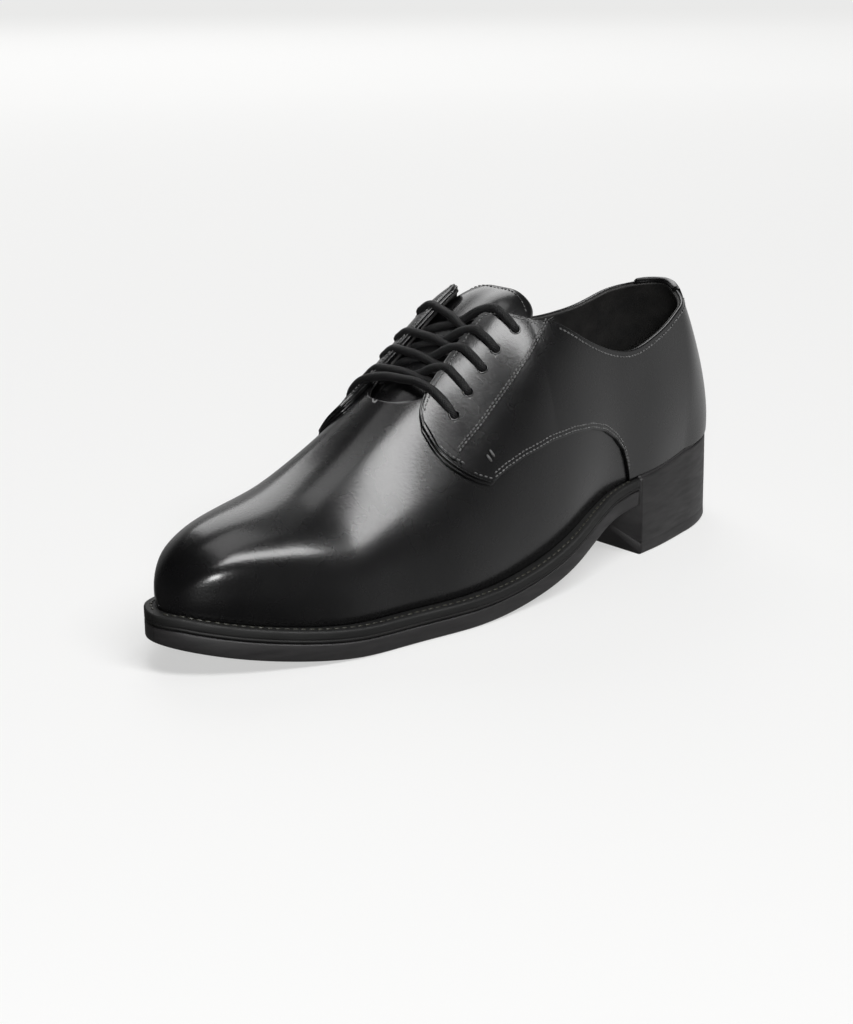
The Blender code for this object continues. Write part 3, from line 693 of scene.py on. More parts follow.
@dataclass(frozen=True)
class PolishedLeather:
    """Smooth box calf with a soft polish."""

    name: str = "polished_leather"
    dark: tuple = (0.0022, 0.0022, 0.0024)
    light: tuple = (0.0042, 0.0041, 0.0044)
    rough: tuple = (0.25, 0.29)
    coat: float = 0.45
    coat_rough: float = 0.16
    grain: float = 0.034
    wave: float = 0.06

    def make(self) -> Material:
        """Returns: the material."""
        n = Nodes(self.name)
        n.set(Coat_Weight=self.coat, Coat_Roughness=self.coat_rough, Specular_IOR_Level=0.5)
        n.colour(n.ramp(n.noise(55, 4), 0, 1), self.dark, self.light)
        n.link(n.ramp(n.noise(70, 3), *self.rough), n.shader.inputs["Roughness"])
        n.bump((n.noise(1700, 2), self.grain), (n.noise(900, 2), self.grain * 1.4),
               (n.noise(18, 1), self.wave))
        return n.material


@dataclass(frozen=True)
class LiningLeather:
    """Dull lining and sock."""

    name: str = "lining_leather"
    tone: float = 0.012
    rough: float = 0.62
    grain: float = 0.04

    def make(self) -> Material:
        """Returns: the material."""
        n = Nodes(self.name)
        light = (self.tone * 2.2, self.tone * 2.1, self.tone * 2)
        n.colour(n.ramp(n.noise(120, 4), 0, 1), (self.tone,) * 3, light)
        rough = n.ramp(n.noise(500, 3), self.rough - 0.06, self.rough + 0.08)
        n.link(rough, n.shader.inputs["Roughness"])
        n.bump((n.noise(1300, 3), self.grain), (n.noise(260, 2), self.grain))
        return n.material


@dataclass(frozen=True)
class BrushedEdge:
    """Trimmed and inked sole edge with fine marks along it."""

    name: str = "brushed_edge"
    dark: tuple = (0.011, 0.0105, 0.011)
    light: tuple = (0.024, 0.0225, 0.023)
    rough: tuple = (0.42, 0.56)
    marks: float = 0.05
    stretch: tuple = (60, 60, 420)

    def make(self) -> Material:
        """Returns: the material."""
        n = Nodes(self.name)
        streak = n.noise(1, 5, self.stretch)
        n.colour(n.ramp(streak, 0, 1, 0.25, 0.8), self.dark, self.light)
        n.link(n.ramp(n.noise(1, 4, (90, 90, 500)), *self.rough), n.shader.inputs["Roughness"])
        n.bump((streak, self.marks), (n.noise(900, 2), self.marks * 0.3))
        return n.material


@dataclass(frozen=True)
class WaxedLace:
    """Round waxed cotton cord with a fine braid."""

    name: str = "waxed_lace"
    tone: tuple = (0.004, 0.004, 0.0043)
    rough: float = 0.5
    braid: float = 0.10

    def make(self) -> Material:
        """Returns: the material."""
        n = Nodes(self.name)
        n.set(Sheen_Weight=0.04, Sheen_Roughness=0.4, Specular_IOR_Level=0.35, Roughness=self.rough)
        one = n.wave(5, 0.75, (1.0, 6.0, 1))
        two = n.wave(5, -0.75, (1.0, 6.0, 1))
        n.colour(n.ramp(n.noise(700, 3), 0, 1), self.tone, tuple(v * 1.7 for v in self.tone))
        n.bump((one, self.braid), (two, self.braid), (n.noise(1600, 2), 0.03))
        return n.material


@dataclass(frozen=True)
class SewingThread:
    """Twisted thread."""

    name: str = "sewing_thread"
    low: tuple = (0.04, 0.04, 0.04)
    high: tuple = (0.15, 0.15, 0.15)
    rough: float = 0.34

    def make(self) -> Material:
        """Returns: the material."""
        n = Nodes(self.name)
        n.set(Roughness=self.rough)
        n.colour(n.ramp(n.noise(900, 2), 0, 1), self.low, self.high)
        n.bump((n.noise(2600, 2), 0.05))
        return n.material


def levels(width: float, middle: int, fine: float = 1.0) -> list[float]:
    """Shares from 0 to 1 over a band, crowded in the last millimetre at both edges."""
    e = min(0.4, fine / max(width, 1e-3))
    near = [0.0, 0.07 * e, 0.2 * e, 0.4 * e, 0.7 * e]
    return near + [float(v) for v in np.linspace(e, 1 - e, middle)] + [1 - v for v in near[::-1]]


@dataclass
class Upper:
    """Vamp, quarters, facings, back tab and lining, all on the last."""

    last: Last
    wall: float = 1.5
    quarter_step: float = 1.25
    facing_step: float = 0.85
    front_inset: float = 1.5
    set_back: tuple = (160.0, 14.0)
    front_lift: float = 0.8
    lift_run: tuple = (148.0, 20.0)
    backing_out: float = 1.1
    puff: float = 1.4
    puff_level: float = 0.53
    puff_reach: float = 0.15
    puff_run: tuple = (222.0, 22.0, 16.0)
    trough: float = 0.12
    trough_line: tuple = (229.0, 14.0, 7.5)
    trough_level: tuple = (0.42, 0.22)
    facing_rows: tuple = (0.95, 2.2)
    quarter_rows: tuple = (1.1, 2.6)
    lacing_row: float = 2.3
    topline_row: float = 2.4
    tab_step: float = 0.95
    tab_depth: float = 12.5
    tab_end: float = 20.0
    tab_over: float = 0.9
    tack_start: tuple = (160.2, 60.0)
    tack_run: tuple = (1.6, 3.6)
    eyelet_radius: float = 1.75
    eyelets: tuple = (
        (136.5, 22.0, 142.0, 22.6), (146.0, 21.4, 154.0, 22.6), (153.0, 21.4, 161.5, 22.8),
        (161.0, 21.8, 170.0, 23.6), (169.0, 22.4, 178.0, 24.8))

    def vamp_top(self, s: float, side: int) -> float:
        """Level of the vamp's upper edge."""
        last = self.last
        if s >= last.throat:
            return 1.0
        lat = s
        if side < 0:
            for _ in range(12):
                lat = s - last.slant_s(lat)
        top = last.rim_q(min(max(lat, 0.0), last.nose), side)
        room = 0.8
        if s > 170.0:
            t = (s - 170.0) / (last.throat - 170.0)
            share = math.sqrt(max(0.0, 1.0 - t * t))
            top = 1.0 - (1.0 - last.rim_q(170.0, side)) * share
            room *= share
        return top - room / last.per_q(s, side, top)

    def raised(self, s: float) -> float:
        """Extra height of the quarter's loose front."""
        start, length = self.lift_run
        return self.front_lift * ease((s - start) / length)

    def inset(self, s: float) -> float:
        """Distance of the facing from the quarter's front."""
        start, length = self.set_back
        return self.front_inset * ease((s - start) / length)

    def relief(self, s: float, side: int, q: float) -> float:
        """Height of the toe puff's shoulder and the flex troughs over the last."""
        (start, rise, fall), (line, lean, width) = self.puff_run, self.trough_line
        toe = ease((s - start) / rise) * ease((self.last.toe_tip - s) / fall)
        shoulder = self.puff * toe * math.exp(-((q - self.puff_level) / self.puff_reach) ** 2)
        deep = self.trough if side > 0 else 0.6 * self.trough
        level, reach = self.trough_level
        flex = (deep * math.exp(-((s - line + lean * q) / width) ** 2)
                * math.exp(-((q - level) / reach) ** 2))
        return shoulder - flex

    def vamp(self) -> Object:
        """Vamp from under the quarters to the toe. Returns: the closed shell."""
        last = self.last
        stations = spaced(60, 170, 3.0)[:-1] + eased_out(170, last.throat, 12)[:-1]
        front = len(stations)
        stations += spaced(last.throat, 232, 1.6)[:-1] + eased_out(232, last.toe_tip, 34)
        rows: Rows = []
        count = 44
        for s in stations:
            row = []
            for side, way in ((-1, 1), (1, -1)):
                top = self.vamp_top(s, side)
                marks = [top * k / count for k in range(count + 1)][::way]
                row += [last.off(s, side, q, self.relief(s, side, q)) for q in marks]
            rows.append(row)
        obj = woven("vamp", rows, lambda line, col: col == count and line < front)
        weld(obj)
        high = max(obj.data.polygons, key=lambda f: f.center.z)
        if high.normal.z < 0:
            obj.data.flip_normals()
        modify(obj, "SOLIDIFY", thickness=0.6 * MM, offset=-1.0)
        return obj

    def shell(self, name: str, stations: Sequence[tuple[float, int]], band: Callable, top: float,
              under: float, middle: int, radius: float = 0.55) -> Object:
        """Closed strip of leather with rounded edges.

        Args:
            name: the piece's name.
            stations: (station, side) along the strip.
            band: gives the own station, the low and the high level.
            top: height of the outer face over the last.
            under: height of the inner face.
            middle: steps across.
            radius: rounding of the edges.

        Returns:
            The closed strip.
        """
        last = self.last
        rows: Rows = []
        for s, side in stations:
            own, low, high = band(s, side)
            width = (high - low) * last.per_q(own, side, (low + high) / 2)
            row = []
            for t in levels(width, middle):
                edge = min(t, 1 - t) * width
                r = min(radius, max(width / 2, 1e-3))
                height = top + self.raised(s) - rounding(r, edge)
                row.append(last.off(own, side, low + (high - low) * t, height))
            for t in np.linspace(1, 0, 8):
                row.append(last.off(own, side, low + (high - low) * t, under))
            row.append(row[0])
            rows.append(row)
        return strip(name, rows)

    def round_heel(self, ends: list[float]) -> list[tuple[float, int]]:
        """Stations from the medial front round the heel to the lateral front."""
        return [(s, -1) for s in reversed(ends)] + [(s, 1) for s in ends[1:]]

    def quarter_band(self, s: float, side: int) -> tuple[float, float, float]:
        """Quarter and facing together, on the vamp."""
        last = self.last
        own = last.own(s, side)
        if s >= last.nose:
            q = last.nose_q(side)
            return own, q, q
        low = last.low_q(s)
        return own, low, max(last.rim_q(s, side), low + 0.01)

    def backing_band(self, s: float, side: int) -> tuple[float, float, float]:
        """Lower layer of the quarter, which shows along its front edge."""
        last = self.last
        own = last.own(s, side)
        ahead = 0.9 * ease((s - 150.0) / 12.0)
        if s >= last.nose + 0.9:
            q = last.nose_q(side)
            return own, q, q
        lat = min(s - ahead, last.nose - 0.01)
        shut = math.sqrt(min(1.0, (last.nose + 0.9 - s) / 2.0))
        out = self.backing_out * ease((s - 156.0) / 8.0) * shut
        low = last.low_q(lat) - out / last.per_q(own, side, last.low_q(lat))
        rim = last.rim_q(lat, side) - 0.6 / last.per_q(own, side, last.rim_q(lat, side))
        return own, low, max(rim, low + 0.01)

    def facing_band(self, s: float, side: int) -> tuple[float, float, float]:
        """Facing with the eyelets, set back from the quarter's front."""
        last = self.last
        own = last.own(s, side)
        tip = last.nose - 1.0
        if s >= tip:
            q = last.nose_q(side)
            return own, q, q
        top = last.rim_q(s, side)
        per = last.per_q(own, side, top)
        low = last.stay_q(s) + self.inset(s) / per
        rim = (0.4 + 0.8 * ease((s - 172.0) / 6.0)) / per
        if low > top - rim - 0.02:
            middle = (low + top - rim) / 2
            return own, middle - 0.005, middle + 0.005
        return own, low, top - rim

    def tab_band(self, s: float, side: int) -> tuple[float, float, float]:
        """Tab over the back seam."""
        top = self.last.rim_q(s, side)
        per = self.last.per_q(s, side, top)
        deep = self.tab_depth * math.sqrt(max(0.0, 1.0 - (s / self.tab_end) ** 2.2))
        over = self.tab_over * ease((self.tab_end - s) / 1.5)
        return s, top - max(deep, 0.5) / per, top + over / per

    def edge_bead(self) -> Object:
        """Turned edge below the facing, from the collar round the nose. Returns: both sides."""
        last, parts = self.last, []
        for side in Side:
            tip = eased_out(178, last.nose - 0.02, 6)
            rim = [(s, last.rim_q(s, side), 0.12, 0.75) for s in spread((126, 2.0), (178,)) + tip]
            tip = eased_out(177, last.nose - 0.02, 6)
            low = [(s, last.low_q(s), -0.12, 0.62) for s in reversed(spaced(164, 176, 1.5) + tip)]
            keys = []
            for s, q, away, high in rim + low:
                own = last.own(s, side)
                keys.append(last.off(own, side, q + away / last.per_q(own, side, q),
                                     high + self.raised(s)))
            parts.append(tube("bead", resample(keys, 0.8), 0.42, 10))
        return joined("edge_bead", parts)

    def lining(self) -> Object:
        """Lining from the rim down to the insole. Returns: the closed strip."""
        last = self.last
        ends = spread((0, 2.0), (124, 0.9), (142,)) + eased_out(142, 183.5, 26)
        rows: Rows = []
        for s, side in self.round_heel(ends):
            lat = min(s, last.nose - 0.2)
            own = last.own(s, side)
            high = last.rim_q(lat, side) if s < 170 else self.vamp_top(own, side)
            per = last.per_q(own, side, high)
            high -= 0.35 / per
            low = 0.6 / last.per_q(own, side, 0.0)
            width = (high - low) * per
            row = []
            for t in levels(width, 18):
                near = (1 - t) * width
                h = -0.62 + 0.6 * ease(1 - near / 3.0)
                row.append(last.off(own, side, low + (high - low) * t, h))
            for t in reversed(levels(width, 18)):
                fall = rounding(0.6, (1 - t) * width)
                row.append(last.off(own, side, low + (high - low) * t, -self.wall + fall))
            row.append(row[0])
            rows.append(row)
        return strip("quarter_lining", rows)

    def holes(self) -> Iterator[tuple[int, float, float, float]]:
        """Yields: side, own station, level and lateral station of each eyelet."""
        for lateral_s, lateral_x, medial_s, medial_x in self.eyelets:
            for side, own, reach in ((1, lateral_s, lateral_x), (-1, medial_s, medial_x)):
                yield side, own, self.last.q_at(own, side, reach, 0, 0.4), lateral_s

    def punch(self, pieces: Sequence[Object]) -> None:
        """Punch the eyelet holes through the pieces."""
        pegs = []
        for side, own, q, _ in self.holes():
            ends = [self.last.off(own, side, q, h) for h in (-6.0, 0.0, 6.0)]
            pegs.append(tube("peg", ends, self.eyelet_radius, 20))
        cutter = joined("eyelet_cutter", pegs)
        for piece in pieces:
            modify(piece, "BOOLEAN", operation="DIFFERENCE", solver="EXACT", object=cutter)
        bpy.data.objects.remove(cutter)

    def rims(self) -> Object:
        """Pressed rims of the eyelet holes. Returns: ten rings as one piece."""
        rings = []
        for side, own, q, s in self.holes():
            high = self.quarter_step + self.facing_step + self.raised(s)
            at, n = self.last.off(own, side, q, high), self.last.normal(own, side, q)
            clear_selection()
            bpy.ops.mesh.primitive_torus_add(
                major_radius=(self.eyelet_radius + 0.22) * MM, minor_radius=0.34 * MM,
                major_segments=28, minor_segments=10)
            ring = bpy.context.active_object
            turn = Vector((n[0], -n[1], n[2])).to_track_quat("Z", "Y").to_matrix().to_4x4()
            squash = Matrix.Diagonal((1, 1, 0.7, 1))
            ring.data.transform(Matrix.Translation(to_row(at)[0]) @ turn @ squash)
            rings.append(ring)
        return joined("eyelet_rims", rings)

    def line(self, marks: Sequence[tuple[float, int, float, float]]) -> tuple[list, list]:
        """Points and normals for a sewn row.

        Args:
            marks: (own station, side, level, height).

        Returns:
            Points and normals in shoe millimetres.
        """
        return ([self.last.off(s, side, q, h) for s, side, q, h in marks],
                [self.last.normal(s, side, q) for s, side, q, h in marks])

    def seams(self) -> dict[str, list[tuple[list, list]]]:
        """Every sewn row of the upper by piece name."""
        last = self.last
        quarter, facing = self.quarter_step + 0.05, self.quarter_step + self.facing_step + 0.05
        rows: dict[str, list[tuple[list, list]]] = {"facing_seam": [], "facing_edge": [],
                                                    "quarter_seam": [], "topline_seam": []}

        def sewn(name: str, side: int, level: Callable[[float], float], away: float, h: float,
                 stations: list[float], back: bool = False) -> None:
            """Add one row at a distance from a level; back sets it back with the facing."""
            marks = []
            for s in stations:
                own, q, way = last.own(s, side), level(s), away + (self.inset(s) if back else 0.0)
                marks.append((own, side, q + way / last.per_q(own, side, q), h + self.raised(s)))
            rows[name].append(self.line(marks))

        for side in Side:
            def rim(s: float, side: int = side) -> float:
                """Level of the rim on this side."""
                return last.rim_q(s, side)

            def tab(s: float, side: int = side) -> float:
                """Level of the tab's lower edge on this side."""
                return self.tab_band(s, side)[1]

            for away in self.facing_rows:
                sewn("facing_seam", side, last.stay_q, away, facing, spaced(122.5, 173, 2.0), True)
            sewn("facing_edge", side, rim, -self.lacing_row, facing, spaced(127, 177, 1.5))
            sewn("facing_edge", side, last.low_q, 3.0, facing, spaced(172.5, 178.6, 0.8))
            for away in self.quarter_rows:
                sewn("quarter_seam", side, last.low_q, away, quarter, spaced(79, 162, 1.5))
            sewn("quarter_seam", side, last.low_q, 1.3, quarter, spaced(163, 170, 1.0))
            sewn("topline_seam", side, rim, -self.topline_row, quarter, spaced(19, 118, 2.0))
            sewn("topline_seam", side, tab, 1.2, quarter + self.tab_step, spaced(0, 17.5, 1.0))
        return rows

    def bar_tack(self) -> list[tuple[list, list]]:
        """Two short bars at the corner of each quarter."""
        (start, height), (along, up), out = self.tack_start, self.tack_run, []
        for side in Side:
            for shift in (0.0, 1.6):
                marks = []
                for t in (0.0, 0.5, 1.0):
                    s = start + shift + along * t
                    q = self.last.q_at(s, 1, height + up * t - shift, 2)
                    high = self.quarter_step + 0.3 + self.raised(s)
                    marks.append((self.last.own(s, side), side, q, high))
                out.append(self.line(marks))
        return out

    def build(self, skin: Material, inside: Material,
              thread: Material) -> None:
        """Make and dress every piece of the upper."""
        last = self.last
        vamp = self.vamp()
        ends = spread((0, 1.6), (76, 0.8), (92, 1.4), (124, 0.6), (144, 0.9), (163, 0.6), (172,))
        ends += eased_out(172, last.nose, 18)
        quarter = self.shell("quarters", self.round_heel(ends), self.quarter_band,
                             self.quarter_step, 0.02, 40)
        front = spread((119, 0.6), (144, 0.9), (168,)) + eased_out(168, last.nose - 1.0, 24)
        high, under = self.quarter_step + self.facing_step, self.quarter_step - 0.1
        facing = joined("facings", [
            self.shell("facing", [(s, side) for s in front], self.facing_band, high, under, 26, 0.3)
            for side in Side])
        layer = spread((150, 0.9), (172,)) + eased_out(172, last.nose + 0.9, 18)
        backing = joined("quarter_backing", [
            self.shell("backing", [(s, side) for s in layer], self.backing_band, 0.15, -0.1, 12,
                       0.35) for side in Side])
        heel = self.round_heel(spread((0, 1.0), (16,)) + eased_out(16, 20, 10))
        tab = self.shell("back_tab", heel, self.tab_band, self.quarter_step + self.tab_step, -0.9,
                         10, 0.6)
        lining = self.lining()
        self.punch([quarter, facing, lining])
        dress(vamp, skin, "leather_black", "upper")
        for piece in (quarter, facing, tab, backing, self.edge_bead()):
            dress(piece, skin, "leather_black")
        dress(lining, inside, "leather_lining")
        dress(self.rims(), skin, "leather_black")
        for name, lines in self.seams().items():
            row = BOLD if name == "topline_seam" else FINE
            dress(row.sew(name, lines), thread, "leather_black")
        dress(TACK.sew("bar_tack", self.bar_tack()), thread, "leather_black")


@dataclass
class Tongue:
    """Padded tongue under the facings."""

    last: Last
    top: float = -2.7
    thick: float = 2.7
    table: tuple = (
        (119.5, 19.0, -2.2), (120.4, 22.5, -1.7), (122.5, 25.0, -1.0), (126.0, 26.5, -0.4),
        (130.0, 27.0, 0.0), (137.0, 26.5, 0.0), (145.0, 26.0, 0.0), (155.0, 27.0, 0.0),
        (165.0, 28.0, 0.0),
        (175.0, 29.0, 0.0), (185.0, 30.0, 0.0), (194.0, 30.0, 0.0))

    def place(self, s: float, u: float, h: float) -> np.ndarray:
        """Point of the tongue: u from -1 to 1 across, h over its upper face."""
        half = float(np.interp(s, [r[0] for r in self.table], [r[1] for r in self.table]))
        lift = float(np.interp(s, [r[0] for r in self.table], [r[2] for r in self.table]))
        return self.last.over(s, self.last.top_x(s) + u * half, self.top + lift + h)

    def build(self, skin: Material, thread: Material) -> None:
        """Make and dress the tongue and its seam."""
        first = self.table[0][0]
        stations = [first + 1.2 * (1 - math.cos(math.pi / 2 * k / 5)) for k in range(6)]
        stations += spaced(first + 1.7, 140, 0.9) + spaced(142, 194, 2.5)
        rows: Rows = []
        for s in stations:
            t = min((s - first) / 1.2, 1.0)
            full = math.sqrt(max(1 - (1 - t) ** 2, 0.0))
            row = []
            for way in (1, -1):
                for u in np.linspace(-way, way, 41):
                    edge = math.sqrt(max(1 - max((abs(u) - 0.93) / 0.07, 0.0) ** 2, 0.0))
                    h = self.thick / 2 * edge * full
                    row.append(self.place(s, u, -self.thick / 2 + way * h))
            row.append(row[0])
            rows.append(row)
        rows.insert(0, [sum(rows[0]) / len(rows[0])] * len(rows[0]))
        rows.append([sum(rows[-1]) / len(rows[-1])] * len(rows[-1]))
        obj = strip("tongue_leather", rows)
        modify(obj, "SMOOTH", factor=0.5, iterations=16)
        dress(obj, skin, "leather_black", "tongue")
        points = []
        for u in np.linspace(-0.86, 0.86, 40):
            s = 122.6 + 5.0 * abs(u) ** 3.2
            points.append(self.place(s, u * 0.95, 0.05))
        normals = [np.array((0.15, -0.35, 0.92))] * len(points)
        dress(LIGHT.sew("tongue_seam", [(points, normals)]), thread, "leather_black")


@dataclass
class Laces:
    """Five rows of round lace: a bar nearest the toe and four over-laced crossings."""

    last: Last
    eyelets: tuple
    radius: float = 1.72
    seat: float = 2.1
    lateral_edge: float = 10.6
    medial_edge: float = -13.8
    dip: float = -1.6
    hump: float = 0.9
    lateral_press: float = 0.15
    medial_press: float = 0.75
    dives: tuple = (
        (150.6, -9.8, 147.9, 7.7), (158.4, -9.8, 154.8, 7.7), (165.2, -9.8, 161.9, 7.7),
        (171.3, -9.8, 168.1, 7.7))

    def run(self, name: str, start: Point, edge: Point, end: Point, lift: float,
            press: float) -> Object:
        """One lace from its eyelet over its facing, across the gap and under the other facing.

        Args:
            name: the piece's name.
            start: station and side position of the eyelet.
            edge: station and side position where it bends over the facing's edge.
            end: station and side position where it goes under the other facing.
            lift: height added where the two laces cross.
            press: depth pressed into the facing.

        Returns:
            The cord.
        """
        last = self.last
        high = self.seat + self.radius - 0.35
        (s0, x0), (s1, x1), (s2, x2) = start, edge, end
        keys = [last.over(s0, x0, -6.0), last.over(s0, x0, -1.5),
                last.over(s0 + (s1 - s0) * 0.04, x0 + (x1 - x0) * 0.04, self.seat - 0.2)]
        for t, sink in ((0.25, 0.5), (0.55, 0.3), (0.85, 0.55)):
            keys.append(last.over(s0 + (s1 - s0) * t, x0 + (x1 - x0) * t, high - press - sink))
        a = last.over(s1, x1, high - press - 0.6)
        b = last.over(s2, x2, -0.9 - self.radius)
        for t in (0.18, 0.42, 0.66, 0.84, 1.0):
            hump = lift * math.exp(-((t - 0.5) / 0.26) ** 2)
            keys.append(a + (b - a) * t + np.array((0.0, 0.0, hump)))
        keys.append(last.over(s2 + 0.8, x2 + math.copysign(5.0, x2 - x1), -1.6 - self.radius))
        return tube(name, through(keys, 0.7), self.radius)

    def bar(self) -> Object:
        """The straight bar. Returns: the cord."""
        last = self.last
        ls, lx, ms, mx = self.eyelets[4]
        high = self.seat + self.radius - 0.2
        keys = [last.over(ls, lx, h) for h in (-6.0, -1.5, 1.0)]
        for t in (0.07, 0.18, 0.34, 0.5, 0.66, 0.82, 0.93):
            h = high - (0.5 if t in (0.07, 0.93) else 0.0) - 4.0 * math.sin(math.pi * t) ** 4
            keys.append(last.over(ls + (ms - ls) * t, lx + (-mx - lx) * t, h))
        keys += [last.over(ms, -mx, h) for h in (1.0, -1.5, -6.0)]
        return tube("lace_straight", through(keys, 0.7), self.radius)

    def build(self, cord: Material) -> None:
        """Make and dress the laces."""
        dress(self.bar(), cord, "cotton_lace", "lace_bar")
        for k, (end_ls, end_lx, end_ms, end_mx) in enumerate(self.dives):
            ls, lx, ms, mx = self.eyelets[k]
            under = self.run("lace_under_%d" % (k + 1), (ls, lx), (ls + 1.6, self.lateral_edge),
                             (end_ls, end_lx - 2.5), self.dip, self.lateral_press)
            over = self.run("lace_over_%d" % (k + 1), (ms, -mx), (ms + 0.6, self.medial_edge),
                            (end_ms, end_mx + 1.2), self.hump, self.medial_press)
            dress(under, cord, "cotton_lace", "lace_cross_%d" % (k + 1))
            dress(over, cord, "cotton_lace")


@dataclass
class Sole:
    """Outsole, welt, heel block and insole."""

    last: Last
    start: float = 223.0
    breast: float = 72.0
    flare: float = 1.1
    share: float = 0.60
    table: tuple = (
        (36.0, 28.9, 29.2, 24.1), (60.0, 33.4, 28.4, 21.9), (90.0, 36.7, 27.0, 19.6),
        (120.0, 43.9, 30.4, 10.0), (150.0, 46.3, 38.2, 2.4), (180.0, 46.0, 46.0, 0.0),
        (205.0, 42.4, 48.1, 0.0), (230.0, 39.2, 44.6, 0.3), (255.0, 33.5, 39.2, 3.0),
        (270.0, 30.6, 34.0, 5.8), (291.2, 27.5, 29.5, 11.2))

    def __post_init__(self) -> None:
        """Make the curves of the table."""
        self.half = {1: Spline(self.table, 1), -1: Spline(self.table, 2)}
        self.bottom = Spline(self.table, 3)

    def edge(self, s: float, side: int) -> np.ndarray:
        """Plan point of the sole edge."""
        last = self.last
        if s >= last.pivot:
            w = self.half[side](s) * closing(s, self.start, last.length, 2.25)
            return np.array((last.toe_shift(s) + side * w, s))
        turn = (1.0 - s / last.pivot) * math.pi / 2
        w = self.half[side](last.pivot)
        slope = self.half[side](last.pivot + 1) - w
        r = 1 / math.sqrt((math.cos(turn) / w) ** 2 + (math.sin(turn) / last.pivot) ** 2)
        r -= slope * math.sin(turn) * math.cos(turn) ** 2 * 20.0
        return np.array((side * r * math.cos(turn), last.pivot - r * math.sin(turn)))

    @lru_cache(maxsize=None)
    def frame_at(self, s: float, side: int) -> tuple[np.ndarray, np.ndarray]:
        """Edge point and its outward direction in plan."""
        p = self.edge(s, side)
        if s < 0.01:
            return p, np.array((0.0, -1.0))
        if s > self.last.length - 0.01:
            return p, np.array((0.0, 1.0))
        t = self.edge(min(s + 0.3, self.last.length), side) - self.edge(max(s - 0.3, 0.0), side)
        n = np.array((t[1], -t[0])) * side
        return p, n / np.linalg.norm(n)

    def __hash__(self) -> int:
        """Identity, so that the cache can hold it."""
        return id(self)

    def seat(self, s: float) -> float:
        """Top of the sole edge; it rises round the heel."""
        last = self.last
        base = last.foot(max(s, last.pivot))
        if s < last.pivot:
            turn = math.acos(min(max((last.pivot - s) / last.pivot, 0.0), 1.0))
            base += (last.back[0][1] - base) * (1 - math.sin(turn))
        return base - 0.3

    def under(self, s: float) -> float:
        """Underside height."""
        return max(self.bottom(s), 0.0)

    def split(self, s: float) -> float:
        """Height of the groove between the outsole and the welt."""
        return self.under(s) + self.share * (self.seat(s) - self.under(s))

    def plate(self, name: str, stations: list[float],
              profile: Sequence[tuple[float, Callable]]) -> Object:
        """Plate with a shaped edge.

        Args:
            name: the piece's name.
            stations: stations from back to front.
            profile: pairs of inset and height function, from the bottom to the top.

        Returns:
            The closed plate.
        """
        def ring(s: float) -> list[np.ndarray]:
            """Closed outline across the plate at s."""
            out = []
            for side, order in ((1, list(profile)), (-1, list(reversed(profile)))):
                p, n = self.frame_at(s, side)
                line = [np.array((*(p - n * inset), height(s))) for inset, height in order]
                out.append(line)
            right, left = out
            fill = [right[-1] * (1 - t) + left[0] * t for t in (0.34, 0.67)]
            under = [left[-1] * (1 - t) + right[0] * t for t in (0.34, 0.67)]
            return right + fill + left + under + [right[0]]

        return strip(name, capped([ring(s) for s in stations]))

    def build(self, edge: Material, rand: Material, heel_edge: Material, sock: Material,
              thread: Material) -> None:
        """Make and dress the sole's pieces."""
        front = spread((self.breast + 0.4, 2.6), (self.start,))
        front += eased_out(self.start, self.last.length, 36)
        outsole = self.plate("outsole_edge", front, [
            (1.6, self.under), (0.75, lambda s: self.under(s) + 0.08),
            (0.2, lambda s: self.under(s) + 0.4),
            (0.0, lambda s: self.under(s) + 1.0), (0.0, lambda s: self.split(s) - 0.8),
            (0.18, lambda s: self.split(s) - 0.4), (0.8, lambda s: self.split(s) - 0.15)])
        welt = self.plate("welt_strip", front, [
            (0.8, lambda s: self.split(s) + 0.15), (0.15, lambda s: self.split(s) + 0.35),
            (0.0, lambda s: self.split(s) + 0.7), (0.05, lambda s: self.split(s) + 1.15),
            (0.38, lambda s: self.split(s) + 1.35), (0.05, lambda s: self.split(s) + 1.6),
            (0.0, lambda s: self.split(s) + 2.0), (0.0, lambda s: self.seat(s) - 0.8),
            (0.22, lambda s: self.seat(s) - 0.28), (0.7, lambda s: self.seat(s) - 0.04),
            (1.3, self.seat)])
        back = [36 * (1 - math.cos(math.pi / 2 * k / 30)) for k in range(31)]
        back += spaced(37.5, self.breast, 1.5)
        lean = -self.flare
        heel = self.plate("heel_block", back, [
            (lean + 1.2, lambda s: 0.0), (lean + 0.3, lambda s: 0.25), (lean, lambda s: 0.9),
            (lean * 0.8, lambda s: 4.6), (lean * 0.79 + 0.15, lambda s: 4.9),
            (lean * 0.78, lambda s: 5.2),
            (lean * 0.5, lambda s: 0.5 * self.seat(s)), (0.0, lambda s: self.seat(s) - 0.9),
            (0.25, lambda s: self.seat(s) - 0.3), (0.9, self.seat)])
        dress(outsole, edge, "rubber_sole", "outsole")
        dress(welt, rand, "leather_welt", "welt")
        dress(heel, heel_edge, "rubber_sole", "heel")
        seat_line = []
        for side, marks in ((-1, list(reversed(back))), (1, back[1:])):
            for s in marks:
                p, n = self.frame_at(s, side)
                seat_line.append(np.array((*(p - n * 1.75), self.seat(s) + 0.15)))
        dress(tube("heel_rand", resample(seat_line, 1.2), 0.95, 12), heel_edge, "rubber_sole")
        lines = []
        for side in Side:
            marks = spaced(76, 223, 2.0)[:-1] + eased_out(223, 290.9, 30)
            points = []
            for s in marks:
                p, n = self.frame_at(s, side)
                points.append(np.array((*(p - n * 2.6), self.seat(s) + 0.06)))
            lines.append((points, [np.array((0.0, 0.0, 1.0))] * len(points)))
        dress(WELTING.sew("welt_stitches", lines), thread, "leather_welt")
        self.insole(sock)

